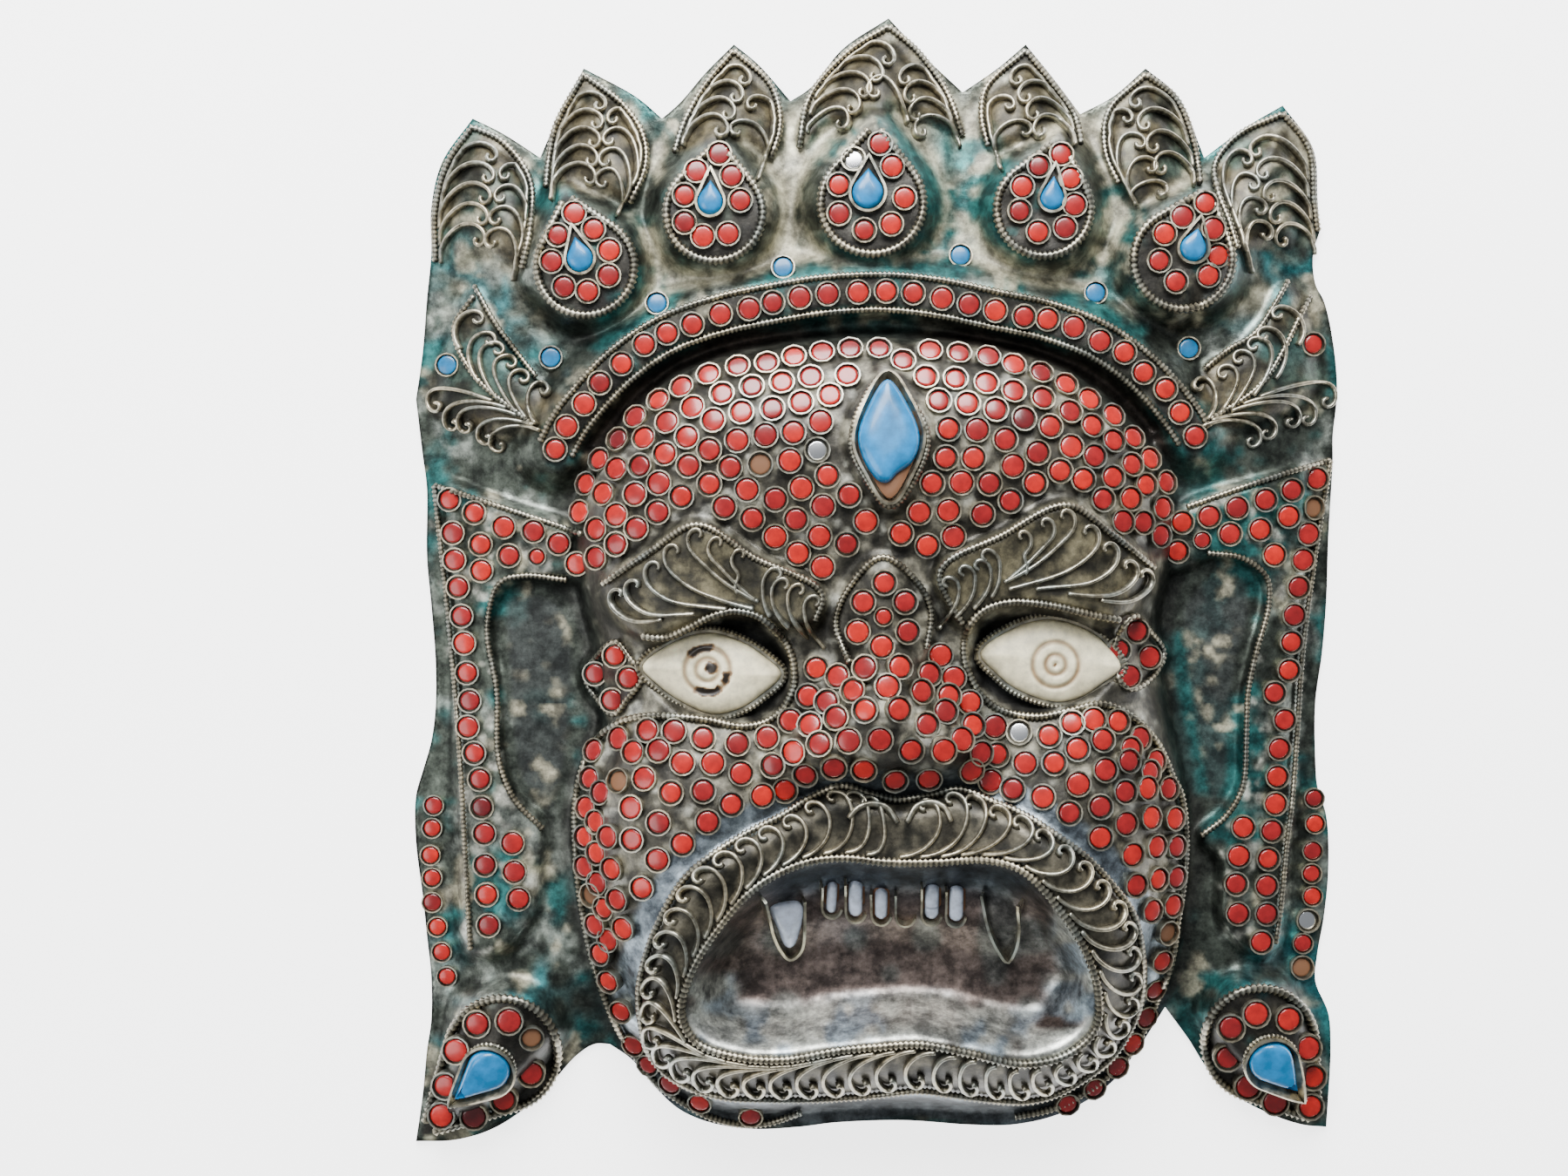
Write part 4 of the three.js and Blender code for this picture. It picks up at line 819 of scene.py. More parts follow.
def makeSheet():
    corners, triangles = triangulated(outline, sheetLook["spacing"])
    px, py = corners[:, 0], corners[:, 1]
    front = standing(px, py, sample(height, px, py))
    back = front - form["thickness"] * unit(sample(facing, px, py))
    back[:, 2] = np.maximum(back[:, 2], 0)
    edge = -depthIn(outline[::2], px, py) > -0.4
    back[edge] = front[edge] * (1, 1, 0)
    v, f = closedSkin(front, back, triangles)
    tint, wear = tintOf()
    inside = np.tile(sheetLook["inside"], (len(px), 1))
    insideWear = np.full(len(px), sheetLook["insideWear"])
    extra = {"tint": np.vstack([sample(tint, px, py), inside]), "wear": np.r_[sample(wear, px, py), insideWear]}
    v = np.column_stack([v, np.ones(len(v))])
    addPiece("mask_sheet", [(v, f)], "sheet", ["mask_shell"], extra=extra)
    print("sheet", len(triangles), "triangles a side")


makeSheet()


def onSheet(line, lift, smooth=2, level=None):
    px, py = line[:, 0], line[:, 1]
    if level is not None:
        up = np.tile((0.0, 0.0, 1.0), (len(line), 1))
        return standing(px, py, np.full(len(line), level)) + lift * up, up
    z = sample(topHeight, px, py)
    for _ in range(smooth):
        z = np.r_[z[0], (z[:-2] + z[1:-1] + z[2:]) / 3, z[-1]]
    normal = unit(sample(broadFacing, px, py))
    return standing(px, py, z) + lift * normal, normal


def tube(path, up, profile, scale, tone, closed=False):
    tangent = np.gradient(path, axis=0)
    if closed:
        tangent = np.roll(path, -1, axis=0) - np.roll(path, 1, axis=0)
    tangent /= np.linalg.norm(tangent, axis=1)[:, None] + 1e-9
    side = np.cross(tangent, up)
    side /= np.linalg.norm(side, axis=1)[:, None] + 1e-9
    rise = np.cross(side, tangent)
    profile = np.array(profile)
    rings = (path[:, None] + scale[:, None, None]
             * (profile[None, :, :1] * side[:, None] + profile[None, :, 1:] * rise[:, None]))
    count, sides = len(path), len(profile)
    v = np.column_stack([rings.reshape(-1, 3), np.repeat(tone, sides)])
    i = np.arange(count if closed else count - 1)[:, None] * sides
    k = np.arange(sides)[None]
    near, far = i + k, i + (k + 1) % sides
    faces = np.stack([near, far, (far + sides) % (count * sides), (near + sides) % (count * sides)], axis=-1)
    faces = faces.reshape(-1, 4).tolist()
    if not closed:
        faces += [list(range(sides))[::-1], list(range((count - 1) * sides, count * sides))]
    return v, faces


# A bead's crest and the valley between beads each have a radius scale and a tone; the valley's low tone is painted
# shade between the beads.
wireLook = {"sides": 6, "crest": (1.18, 1.0), "valley": (0.68, 0.1), "millingShade": (0.75, 0.25)}
wireTurns = np.arange(wireLook["sides"]) * math.pi / 3 + math.pi / 6
roundProfile = [(math.cos(a), math.sin(a)) for a in wireTurns]
wallProfile = [(1, -1.2), (1, 1.4), (0.45, 2.2), (-0.45, 2.2), (-1, 1.4), (-1, -1.2)]


def beaded(line, radius=0.62, pitch=1.0, lift=0.3, closed=False, level=None):
    line = evenly(np.asarray(line, float), pitch / 2)
    if closed:
        line = line[:-1][:(len(line) - 1) // 2 * 2]
    path, up = onSheet(line, lift, level=level)
    crest = np.arange(len(line)) % 2
    swell, tone = (np.where(crest, a, b) for a, b in zip(wireLook["crest"], wireLook["valley"]))
    return tube(path, up, roundProfile, radius * swell, tone, closed)


def flatWire(line, halfWidth=0.42, step=0.8, lift=0.1):
    line = evenly(np.asarray(line, float), step)
    path, up = onSheet(line, lift, 1)
    # Every second ring is darker: painted shade of the milled grooves.
    base, millShade = wireLook["millingShade"]
    return tube(path, up, wallProfile, np.full(len(line), halfWidth), base + millShade * (np.arange(len(line)) % 2))


def leafWire(plan, ends):
    right, left = ends
    up = smoothLine(plan[left:] + [plan[0]])
    down = smoothLine(plan[:right + 1])
    return np.vstack([up[:-1], down])


lidLines = {
    "left": [[-54.6, -12.6], [-49.4, -13], [-44.6, -11], [-39.2, -8.2], [-33.6, -6.8], [-28, -8], [-23.6, -11.6],
             [-20.8, -15.2], [-19.4, -20.4], [-19.8, -25.4], [-22.6, -30.2], [-26.8, -33], [-32.2, -33.8],
             [-39.2, -32.4], [-46, -31.6], [-53, -31.2], [-58.4, -32.2], [-62.6, -34.6], [-66, -38.4], [-68.4, -44.6],
             [-69.6, -51], [-69.6, -60], [-68.8, -70.4], [-67.4, -79.2], [-65.4, -88.2], [-62.6, -96.6],
             [-59.2, -104.2], [-55, -110.6], [-50.8, -115.8], [-46, -119.2], [-39.2, -123], [-32.2, -124.8],
             [-25.4, -124.4], [-18.4, -122]],
    "right": [[55, -9], [48.2, -7.6], [39.8, -5.6], [29.8, -4.8], [23.6, -6.8], [19.8, -11.4], [19.2, -18.2],
              [22.2, -25.2], [27.4, -29.8], [36, -31.6], [43.6, -30.2], [51.2, -28.6], [57.4, -31.2], [63.4, -37.4],
              [67.2, -45.8], [68.8, -49], [70, -58.2], [69.6, -68], [68, -78.8], [66.6, -88], [63.4, -96.4],
              [59.6, -104.8], [55, -111.2], [48, -116.8], [40, -121], [31, -123]],
}
earWires = {
    "ear_outer_left": [(499, 557), (515, 700), (528, 850), (541, 1090)],
    "ear_top_left": [(499, 557), (585, 586), (668, 613)],
    "ear_inner_left": [(652, 665), (600, 660), (573, 669), (559, 720), (570, 793), (572, 872), (590, 918),
                       (623, 952)],
    "ear_top_right": [(1362, 583), (1445, 554), (1527, 528)],
    "ear_outer_right": [(1527, 528), (1509, 635), (1494, 750), (1488, 838), (1482, 918), (1475, 976), (1469, 1041),
        (1463, 1083)],
    "ear_inner_right": [(1385, 634), (1427, 640), (1454, 662), (1457, 692), (1442, 750), (1433, 795), (1431, 845),
        (1427, 903), (1408, 937), (1379, 960)],
    "side_leaf_left": [(545, 328), (565, 366), (590, 401), (615, 433)],
    "side_leaf_right": [(1478, 322), (1462, 352), (1440, 384), (1410, 402), (1383, 424)],
    "leaf_vein_left": [(545, 340), (522, 378), (545, 431), (614, 489)],
    "leaf_vein_right": [(1388, 482), (1447, 441), (1504, 339)],
}
thirdEyeRim = [[1.6, 47.2], [7.2, 40.8], [10.8, 33.2], [8.4, 24.2], [2.4, 17], [-2.8, 22.8], [-6.4, 30.8], [-4, 40.4]]
noseRootRim = [[-6.6, -19.2], [-10, -9.8], [-7.6, -2.8], [0.4, 5.2], [8.4, -0.4], [11.6, -6.8], [10.4, -15.8]]
browRims = [
    [[-63.5, -1], [-53, 6], [-42, 12.5], [-29, 5], [-13.5, -3], [-15, -9]],
    [[19, -10], [14, 2], [28, 10], [43, 17], [53, 10.5], [62.5, 3]],
]


wires = {  # radius and pitch of the beads, or the radius alone
    "leaf": (0.75, 1.05), "boss": (0.95, 1.2), "lowerBoss": (1.0, 1.25), "lid": (0.8, 1.05), "band": (0.75, 1.05),
    "lipOuter": (0.8, 1.1), "lipInner": (0.95, 1.2), "rim": (0.7,), "temple": (0.65,), "bandApart": 3.9, "tipGap": 0.12,
}


def wirePiece(name, line, kind, closed=False):
    addPiece(name + "_wire", [beaded(line, *wires[kind], closed=closed)], "wire")


def makeWires():
    for k, leaf in enumerate(leafPlans):
        wirePiece("crown_leaf_%d" % (k + 1), leafWire(leaf["line"], leaf["ends"]), "leaf")
    for k, boss in enumerate(crownBosses):
        wirePiece("crown_boss_%d" % (k + 1), dropLine(gap=wires["tipGap"], **boss), "boss")
    for side, boss in zip(sides, lowerBosses):
        wirePiece("lower_boss_" + side, dropLine(gap=wires["tipGap"], **boss), "lowerBoss")
        wirePiece("lid_and_cheek_" + side, smoothLine(lidLines[side]), "lid")
    band = smoothLine(bandPlan)
    wirePiece("band_upper", offsetLine(band, wires["bandApart"]), "band")
    wirePiece("band_lower", offsetLine(band, -wires["bandApart"]), "band")
    wirePiece("lip_outer", smoothLine(lipPlan, True), "lipOuter", True)
    wirePiece("lip_inner", smoothLine(mouthPlan, True), "lipInner", True)
    wirePiece("third_eye_rim", smoothLine(thirdEyeRim, True), "rim", True)
    wirePiece("nose_root", smoothLine(noseRootRim), "rim")
    for side, rim, temple in zip(sides, browRims, templePlans):
        wirePiece("brow_" + side, smoothLine(rim), "rim")
        wirePiece("temple_" + side, smoothLine(temple, True), "temple", True)
    for name, points in earWires.items():
        wirePiece(name, smoothLine(fromPhoto(points)), "temple")


makeWires()
print("beaded wires made")


scrollShape = {"stem": 0.5, "shoulder": 0.36, "tightening": 1.2, "turn": 5.4, "stemPoints": 14, "hookPoints": 16,
               "step": 0.6}


def scrollLine(foot, curl, forward, wide=2.4, tight=0.8, start=None, hand=0):
    s = scrollShape
    foot, curl = np.array(foot, float), np.array(curl, float)
    ahead = np.array(forward, float) / np.linalg.norm(forward)
    across = np.array([-ahead[1], ahead[0]])
    if (hand or np.dot(curl - foot, across)) < 0:
        across = -across
    shrink = (wide - tight) / s["tightening"]
    top = curl + wide * ahead
    along = across * wide - ahead * shrink
    along /= np.linalg.norm(along)
    reach = np.linalg.norm(top - foot)
    leaving = ahead if start is None else np.array(start, float) / np.linalg.norm(start)
    first = foot + leaving * s["stem"] * reach
    second = top - along * s["shoulder"] * reach
    t = np.linspace(0, 1, s["stemPoints"])[:, None]
    sweep = (1 - t) ** 3 * foot + 3 * t * (1 - t) ** 2 * first + 3 * t * t * (1 - t) * second + t ** 3 * top
    a = np.linspace(0, s["turn"], s["hookPoints"])[1:, None]
    radius = tight + (wide - tight) * np.exp(-a / s["tightening"])
    return np.vstack([sweep, curl + radius * (ahead * np.cos(a) + across * np.sin(a))])


def scroll(*plan, **more):
    return flatWire(scrollLine(*plan, **more), step=scrollShape["step"])


def pointAt(line, share):
    at = np.clip(share, 0, 1) * (len(line) - 1)
    i = min(int(at), len(line) - 2)
    return mix(line[i], line[i + 1], at - i)


# Curls that come too near the wire of a crown leaf are pushed inward. The wall closes that wire far inside the leaf.
leafCurls = {
    "hang": 5, "below": (6.5, 9), "wide": (3, 2.4), "tight": 0.8, "fromWire": 1.3, "inward": (0.9, 0.45), "aside": 0.7,
    "wallDrop": 8, "wallInward": 30, "wallTop": 60, "wallFoot": 12,
    "pushes": 14, "push": 0.4, "extraForward": (-0.2, 1), "extraWide": 3.2,
}


def keptInside(line, around, inward):
    for _ in range(leafCurls["pushes"]):
        out = depthIn(around, line[:, 0], line[:, 1]) < leafCurls["fromWire"]
        line[out] += leafCurls["push"] * inward
    return line


def leafScrolls(leaf):
    c = leafCurls
    right, left = leaf["ends"]
    edges = [smoothLine(leaf["line"][left:] + [leaf["line"][0]]), smoothLine(leaf["line"][:right + 1])[::-1]]
    parts = []
    for side, edge, (first, last, count) in zip((-1, 1), edges, leaf["curls"]):
        first, last = np.array(first), np.array(last)
        up = (last - first) / np.linalg.norm(last - first)
        inward = np.array([-side * c["inward"][0], -c["inward"][1]])
        down = (edge[0] - edge[3]) / np.linalg.norm(edge[0] - edge[3])  # the lowest scrolls hang below the border
        edge = np.vstack([edge[0] + c["hang"] * down, edge[0] + c["hang"] / 2 * down, edge])
        far = -side * c["wallInward"]
        top, low = edge[-1:] + [[far, c["wallTop"]]], edge[:1] + [[far, c["wallFoot"]]]
        wall = np.vstack([edge[:1] + c["wallDrop"] * down, edge, top, low])
        for k in range(count):
            t = k / max(1, count - 1)
            curl = mix(first, last, t)
            nearest = np.argmin(abs((edge - curl) @ up + mix(*c["below"], t)))
            foot = edge[nearest] - np.array([side * c["aside"], 0])
            line = keptInside(scrollLine(foot, curl, up, mix(*c["wide"], t), c["tight"]), wall, inward)
            parts.append(flatWire(line, step=scrollShape["step"]))
    if "extra" in leaf:
        parts.append(scroll(*leaf["extra"], c["extraForward"], c["extraWide"], c["tight"]))
    return parts


lipScrolls = {"count": 50, "first": 0.012, "span": 0.968, "lead": 0.028, "wide": 3, "tight": 0.75,
              "fromMouth": 1.3, "fromFace": -2.4, "archHalfWidth": 0.6}
lipArches = [[(974, 939), (984, 928), (1001, 924), (1018, 929), (1030, 944)],
             [(1041, 944), (1052, 928), (1068, 923), (1084, 928), (1092, 943)]]
sideScrolls = {
    "feet": [(-91.7, 45.2), (-87.6, 41.4), (-83.3, 38.3), (-81, 37.1), (-78.7, 35.8), (-96, 53), (-88.7, 41.1),
             (-85.6, 39.5), (-83.3, 37.9), (-79.5, 35.5), (-77.8, 34.3)],
    "curls": [(-89.4, 54.9), (-87.6, 52.6), (-84.8, 49.6), (-81.8, 46.2), (-76.9, 43.4), (-92.1, 59.8),
              (-101.5, 39.9), (-97.6, 35.8), (-94.5, 35.3), (-89.9, 32.5), (-87.1, 30.7)],
    "forward": (-0.62, 0.78),
    "lowerForward": (-0.9, 0.35),
    "mirror": (75.6, -79.2, 1.2),
    "upperCount": 6, "wide": 2.3, "tight": 0.85,
}
browScrolls = {
    "feet": [(-49.9, -8.9), (-42.5, -7.4), (-35.1, -6.3), (-28.9, -6.3), (-27.8, -4.8), (-28.5, -4.5), (-32.6, -3),
             (-24.8, -8.2), (-20.7, -10.8), (-16.7, -13), (-12.6, -15.6)],
    "curls": [(-59.7, -3), (-56, -1), (-51.4, 2.9), (-47, 6.8), (-41.8, 10.3), (-37.4, 8.5), (-32.2, 5.7),
              (-23.7, 1.1), (-22, -1), (-18.5, -2.3), (-15, -4.8)],
    "starts": [(-1, -0.2), (-1, -0.1), (-1, 0.1), (-1, 0.25), (-0.9, 0.4), (-0.8, 0.6), (-0.7, 0.7),
               (-0.6, 0.8), (-0.7, 0.75), (-0.7, 0.75), (-0.7, 0.75)],
    "aheads": [(-0.15, -1)] * 7 + [(-0.8, -0.6)] * 4, "wides": [3.9, 4.4, 5, 5.2, 4.6, 4.2, 3.8, 4, 3.6, 3.4, 3.2],
    "mirror": (0.6, 4.4), "tight": 0.75,
}


def makeFiligree():
    for k, leaf in enumerate(leafPlans):
        addPiece("leaf_filigree_%d" % (k + 1), leafScrolls(leaf), "wire")
    lip = lipScrolls
    inner = offsetLine(smoothLine(mouthPlan, True), lip["fromMouth"])
    outer = offsetLine(smoothLine(lipPlan, True), lip["fromFace"])
    parts = []
    for k in range(lip["count"]):
        share = lip["first"] + lip["span"] * k / (lip["count"] - 1)
        foot, ahead = pointAt(inner, share), pointAt(inner, min(1, share + 0.01))
        parts.append(scroll(foot, pointAt(outer, share + lip["lead"]), ahead - foot, lip["wide"], lip["tight"]))
    parts += [flatWire(smoothLine(fromPhoto(points)), lip["archHalfWidth"]) for points in lipArches]
    addPiece("lip_filigree", parts, "wire")
    b, s = browScrolls, sideScrolls
    across, up = b["mirror"]
    base, inside, widen = s["mirror"]
    for side, flip in zip(sides, (1, -1)):
        parts = []
        for foot, curl, start, ahead, wide in zip(b["feet"], b["curls"], b["starts"], b["aheads"], b["wides"]):
            if side == "right":
                foot, curl = ((across - p[0], p[1] + up) for p in (foot, curl))
            ahead, start = ((flip * p[0], p[1]) for p in (ahead, start))
            parts.append(scroll(foot, curl, ahead, wide, b["tight"], start, hand=-flip))
        addPiece("brow_filigree_" + side, parts, "wire")
    for side, flip in zip(sides, (1, -1)):
        parts = []
        for k, (foot, curl) in enumerate(zip(s["feet"], s["curls"])):
            forward = s["forward"] if k < s["upperCount"] else s["lowerForward"]
            if side == "right":
                foot, curl = ((base - (p[0] - inside) * widen, p[1] + 1) for p in (foot, curl))
            parts.append(scroll(foot, curl, (flip * forward[0], forward[1]), s["wide"], s["tight"]))
        addPiece("side_leaf_filigree_" + side, parts, "wire")


makeFiligree()
print("filigree made")


def editTop(piece, steps):
    bpy.ops.object.mode_set(mode="EDIT")
    bpy.ops.mesh.select_mode(type="FACE")
    bpy.ops.mesh.select_all(action="DESELECT")
    bpy.ops.object.mode_set(mode="OBJECT")
    for face in piece.data.polygons:
        face.select = face.normal.z > 0.9
    bpy.ops.object.mode_set(mode="EDIT")
    for thickness, rise in steps:
        bpy.ops.mesh.inset(thickness=thickness)
        bpy.ops.transform.translate(value=(0, 0, rise))
    bpy.ops.object.mode_set(mode="OBJECT")


def templateOf(piece):
    mesh = piece.data
    v = np.array([tuple(vertex.co) for vertex in mesh.vertices]) + np.array(piece.location)
    f = [list(face.vertices) for face in mesh.polygons]
    bpy.data.objects.remove(piece)
    bpy.data.meshes.remove(mesh)
    return v, f


cupShape = {"sides": 16, "radius": 2.86, "below": 2.2, "above": 1.35, "wall": 0.32, "well": 1.1, "bevel": 0.06,
            "notch": 0.16, "tone": 0.2}
gemShape = {"sides": 14, "radius": 2.32, "below": 0.6, "above": 0.8, "bevel": 0.24, "dome": 0.17, "edgeShade": 0.5}


def studOf(shape, steps):
    depth, middle = shape["below"] + shape["above"], (shape["above"] - shape["below"]) / 2
    bpy.ops.mesh.primitive_cylinder_add(
        vertices=shape["sides"], radius=shape["radius"], depth=depth, location=(0, 0, middle))
    piece = bpy.context.object
    editTop(piece, steps)
    return templateOf(piece)


def cupTemplate():
    c = cupShape
    v, f = studOf(c, [(c["wall"], 0), (c["bevel"], -c["well"])])
    rim = v[:, 2] > c["above"] - 0.01
    angle = np.arctan2(v[:, 1], v[:, 0]) * c["sides"] / (2 * math.pi)
    v[rim, 2] -= c["notch"] * (np.round(angle[rim]) % 2)
    # The top of the rim keeps full tone; the cup's outer wall and its well take a low tone, painted shade below the
    # rim.
    return np.column_stack([v, np.where(rim, 1.0, c["tone"])]), f


def gemTemplate():
    g = gemShape
    v, f = studOf(g, [(g["bevel"], g["dome"]), (g["bevel"] * 1.5, g["dome"] * 0.4)])
    # Stones are darker near their edge than on the top: painted shade that rounds the flat stone.
    return np.column_stack([v, np.where(v[:, 2] < g["above"] + g["dome"] / 2, g["edgeShade"], 1.0)]), f


cup, gem = cupTemplate(), gemTemplate()


seating = {"most": 1.3, "share": 1.2}  # a stud that leans away from the sheet stands this much higher


def seatOf(point, upright=0.0):
    px, py = np.array([point[0]]), np.array([point[1]])
    normal = unit(sample(broadFacing, px, py)[0])
    at = standing(px, py, sample(height, px, py))[0]
    turned = unit(mix(normal, np.array([0, 0, 1.0]), upright))
    lean = math.acos(min(1, float(normal @ turned)))
    return at + min(seating["most"], seating["share"] * math.tan(lean)) * turned, turned


def axesOf(normal):
    side = unit(np.cross((0, 1, 0), normal))
    return side, np.cross(normal, side)


def placed(template, point, size=1.0, turn=0.0, tone=1.0, sink=0.0, upright=0.45):
    v, f = template
    at, normal = seatOf(point, upright)
    side, ahead = axesOf(normal)
    c, s = math.cos(turn), math.sin(turn)
    px, py = v[:, 0] * c - v[:, 1] * s, v[:, 0] * s + v[:, 1] * c
    spot = at + size * (px[:, None] * side + py[:, None] * ahead) + (v[:, 2:3] - sink) * normal
    return np.column_stack([spot, v[:, 3] * tone]), f


stoneSpots = {
    "crown_1": [(660, 246), (641, 271), (682, 264), (634, 301), (700, 288), (699, 317), (648, 330), (675, 335)],
    "crown_2": [(826, 178), (800, 198), (840, 203), (786, 225), (850, 231), (786, 256), (807, 272), (836, 269)],
    "crown_3": [(1010, 166), (1024, 192), (963, 213), (1038, 228), (963, 246), (1023, 258), (992, 265)],
    "crown_4": [(1217, 179), (1192, 192), (1228, 206), (1173, 215), (1233, 236), (1170, 243), (1191, 267),
                (1222, 262)],
    "crown_5": [(1382, 235), (1356, 250), (1391, 264), (1336, 269), (1397, 294), (1330, 300), (1349, 324),
                (1386, 317)],
    "lower_left": [(549, 1174), (585, 1171), (526, 1204), (610, 1229), (514, 1244), (509, 1278), (545, 1278),
                   (579, 1259)],
    "lower_right": [(1412, 1178), (1441, 1163), (1477, 1169), (1498, 1201), (1408, 1211), (1504, 1234), (1431, 1244),
                    (1462, 1262), (1502, 1268)],
    "band": [(638, 516), (651, 490), (671, 464), (689, 440), (714, 418), (740, 396), (766, 383), (795, 373),
             (827, 361), (860, 355), (887, 348), (918, 342), (950, 338), (985, 336), (1017, 335), (1048, 337),
             (1081, 343), (1112, 350), (1142, 357), (1175, 364), (1202, 367), (1232, 376), (1262, 392), (1290, 405),
             (1312, 428), (1337, 447), (1354, 474), (1371, 501)],
    "forehead_left": [(1009, 405), (976, 405), (944, 409), (912, 414), (881, 421), (848, 425), (815, 434), (785, 448),
                      (759, 463), (733, 482), (713, 507), (692, 530), (677, 557), (670, 589), (973, 434), (931, 436),
                      (898, 442), (864, 447), (830, 455), (797, 470), (768, 487), (742, 505), (737, 536), (711, 540),
                      (696, 568), (953, 456), (920, 464), (887, 471), (852, 475), (820, 484), (790, 503), (765, 522),
                      (942, 485), (911, 497), (879, 500), (847, 506), (815, 517), (791, 535), (758, 555), (731, 568),
                      (710, 592), (688, 608), (907, 529), (839, 537), (815, 556), (783, 570), (756, 588), (732, 607),
                      (710, 625), (688, 640), (950, 546), (920, 560), (858, 562), (890, 573), (975, 568), (945, 581),
                      (832, 582), (864, 595), (914, 596), (994, 598), (941, 615), (890, 616), (972, 624), (916, 635),
                      (944, 651)],
    "forehead_right": [(1036, 418), (1067, 407), (1100, 410), (1133, 414), (1162, 423), (1193, 432), (1221, 445),
                       (1247, 462), (1274, 480), (1297, 505), (1316, 529), (1334, 555), (1062, 436), (1096, 438),
                       (1131, 443), (1162, 452), (1195, 460), (1226, 475), (1251, 491), (1275, 508), (1296, 535),
                       (1312, 558), (1077, 462), (1110, 465), (1142, 472), (1174, 482), (1204, 491), (1228, 514),
                       (1254, 525), (1275, 549), (1295, 573), (1330, 584), (1088, 493), (1121, 494), (1153, 505),
                       (1190, 520), (1216, 541), (1242, 551), (1264, 574), (1286, 600), (1309, 600), (1328, 615),
                       (1085, 526), (1117, 526), (1162, 535), (1187, 555), (1069, 555), (1103, 554), (1135, 555),
                       (1159, 575), (1055, 588), (1088, 586), (1127, 590), (1034, 612), (1064, 626), (1094, 616)],
    "nose": [(964, 778), (995, 768), (1031, 767), (1064, 775), (982, 794), (1018, 789), (1055, 795), (1087, 800),
             (951, 807), (962, 825), (995, 816), (1030, 815), (1083, 818), (1062, 833), (1114, 834), (1141, 834),
             (932, 834), (942, 855), (975, 850), (1010, 848), (1045, 860), (1082, 861), (1101, 850), (1123, 864),
             (1143, 866), (914, 863), (926, 886), (957, 878), (992, 880), (1027, 892), (1066, 890), (1113, 882),
             (1137, 896), (901, 906), (888, 878)],
    "eye_corners": [(937, 767), (928, 799), (908, 827), (1079, 752), (1094, 778), (1112, 806)],
    "nose_root": [(1015, 669), (991, 691), (1038, 691), (985, 725), (1041, 725), (1012, 742)],
    "temple_left": [(708, 752), (685, 773), (723, 778), (705, 803)],
    "temple_right": [(1302, 724), (1316, 754), (1294, 776), (1283, 746)],
    "cheek_left": [(686, 863), (714, 848), (730, 864), (746, 839), (758, 862), (775, 840), (807, 848), (784, 876),
                   (742, 894), (818, 876), (846, 854), (850, 888), (881, 847), (874, 913), (681, 894), (677, 927),
                   (675, 960), (702, 960), (727, 927), (728, 963), (757, 944), (771, 910), (807, 908), (839, 923),
                   (812, 943), (784, 968), (756, 986), (675, 994), (706, 996), (739, 1018), (712, 1031), (719, 1064),
                   (687, 1060), (693, 1093), (702, 1124), (694, 910), (688, 943), (689, 978), (690, 1012),
                   (697, 1041), (702, 1077)],
    "cheek_right": [(1204, 845), (1230, 831), (1254, 827), (1281, 829), (1305, 848), (1264, 850), (1236, 860),
                    (1210, 876), (1177, 876), (1163, 906), (1197, 915), (1227, 933), (1262, 926), (1237, 900),
                    (1267, 884), (1293, 874), (1322, 874), (1295, 860), (1316, 886), (1289, 909), (1313, 905),
                    (1337, 905), (1317, 938), (1344, 939), (1262, 961), (1290, 945), (1297, 980), (1323, 971),
                    (1346, 971), (1301, 1015), (1325, 1008), (1346, 1006), (1318, 1044), (1342, 1038), (1330, 1101),
                    (1322, 1133)],
    "chin_left": [(716, 1158), (730, 1196), (747, 1219), (772, 1240), (805, 1261), (862, 1277)],
    "chin_right": [(1312, 1165), (1297, 1195), (1280, 1222), (1254, 1246), (1224, 1264)],
    "ear_left": [(518, 574), (546, 589), (522, 612), (553, 625), (579, 605), (613, 610), (642, 624), (524, 643),
                 (554, 655), (585, 638), (665, 647), (528, 674), (532, 707), (535, 738), (538, 772), (541, 804),
                 (539, 834), (546, 864), (552, 894), (554, 926), (557, 956), (589, 967), (558, 992), (591, 1000),
                 (560, 1026), (596, 1031), (562, 1061)],
    "edge_left": [(499, 924), (497, 950), (495, 981), (497, 1007), (497, 1035), (503, 1063), (508, 1092),
                  (514, 1120)],
    "ear_right": [(1509, 550), (1481, 563), (1451, 574), (1419, 583), (1387, 593), (1355, 600), (1477, 593),
                  (1445, 608), (1411, 613), (1349, 633), (1499, 613), (1461, 637), (1493, 643), (1488, 674),
                  (1483, 706), (1480, 737), (1477, 769), (1461, 795), (1472, 826), (1466, 859), (1464, 891),
                  (1462, 922), (1426, 949), (1458, 953), (1421, 982), (1454, 985), (1418, 1014), (1452, 1016),
                  (1420, 1048), (1452, 1048), (1446, 1080)],
    "edge_right": [(1507, 916), (1508, 945), (1505, 976), (1504, 1002), (1505, 1028), (1494, 1082)],
    "coral_dot": [(1505, 396)],
}
smallSpots = {"nose_root": [(1014, 708)], "ear_left": [(617, 639)], "ear_right": [(1379, 620)]}
emptySpots = {
    "foil": [(980, 184), (938, 517), (1170, 841), (1500, 1056)],
    "dark": [(873, 533), (610, 1190), (1505, 583), (1493, 1110), (713, 897), (682, 1026), (1337, 1069)],
}
darkSpots = {(545, 1278), (713, 507), (1174, 482), (554, 926)}
replacedBy = {"band": ["brow_band_corals"], "nose_root": ["nose_root_corals"], "coral_dot": ["coral_dot"]}
replacedBy.update({"crown_%d" % k: ["crown_corals_%d" % k] for k in range(1, 6)})
for side in sides:
    replacedBy.update({row + "_" + side: [row + "_corals_" + side] for row in ("lower", "temple", "ear", "edge")})
    replacedBy["ear_" + side].append("ear_foot_corals_" + side)
cupSizes = {"lower_left": 1.14, "lower_right": 1.14, "edge_left": 0.86, "edge_right": 0.86, "nose": 1.02}
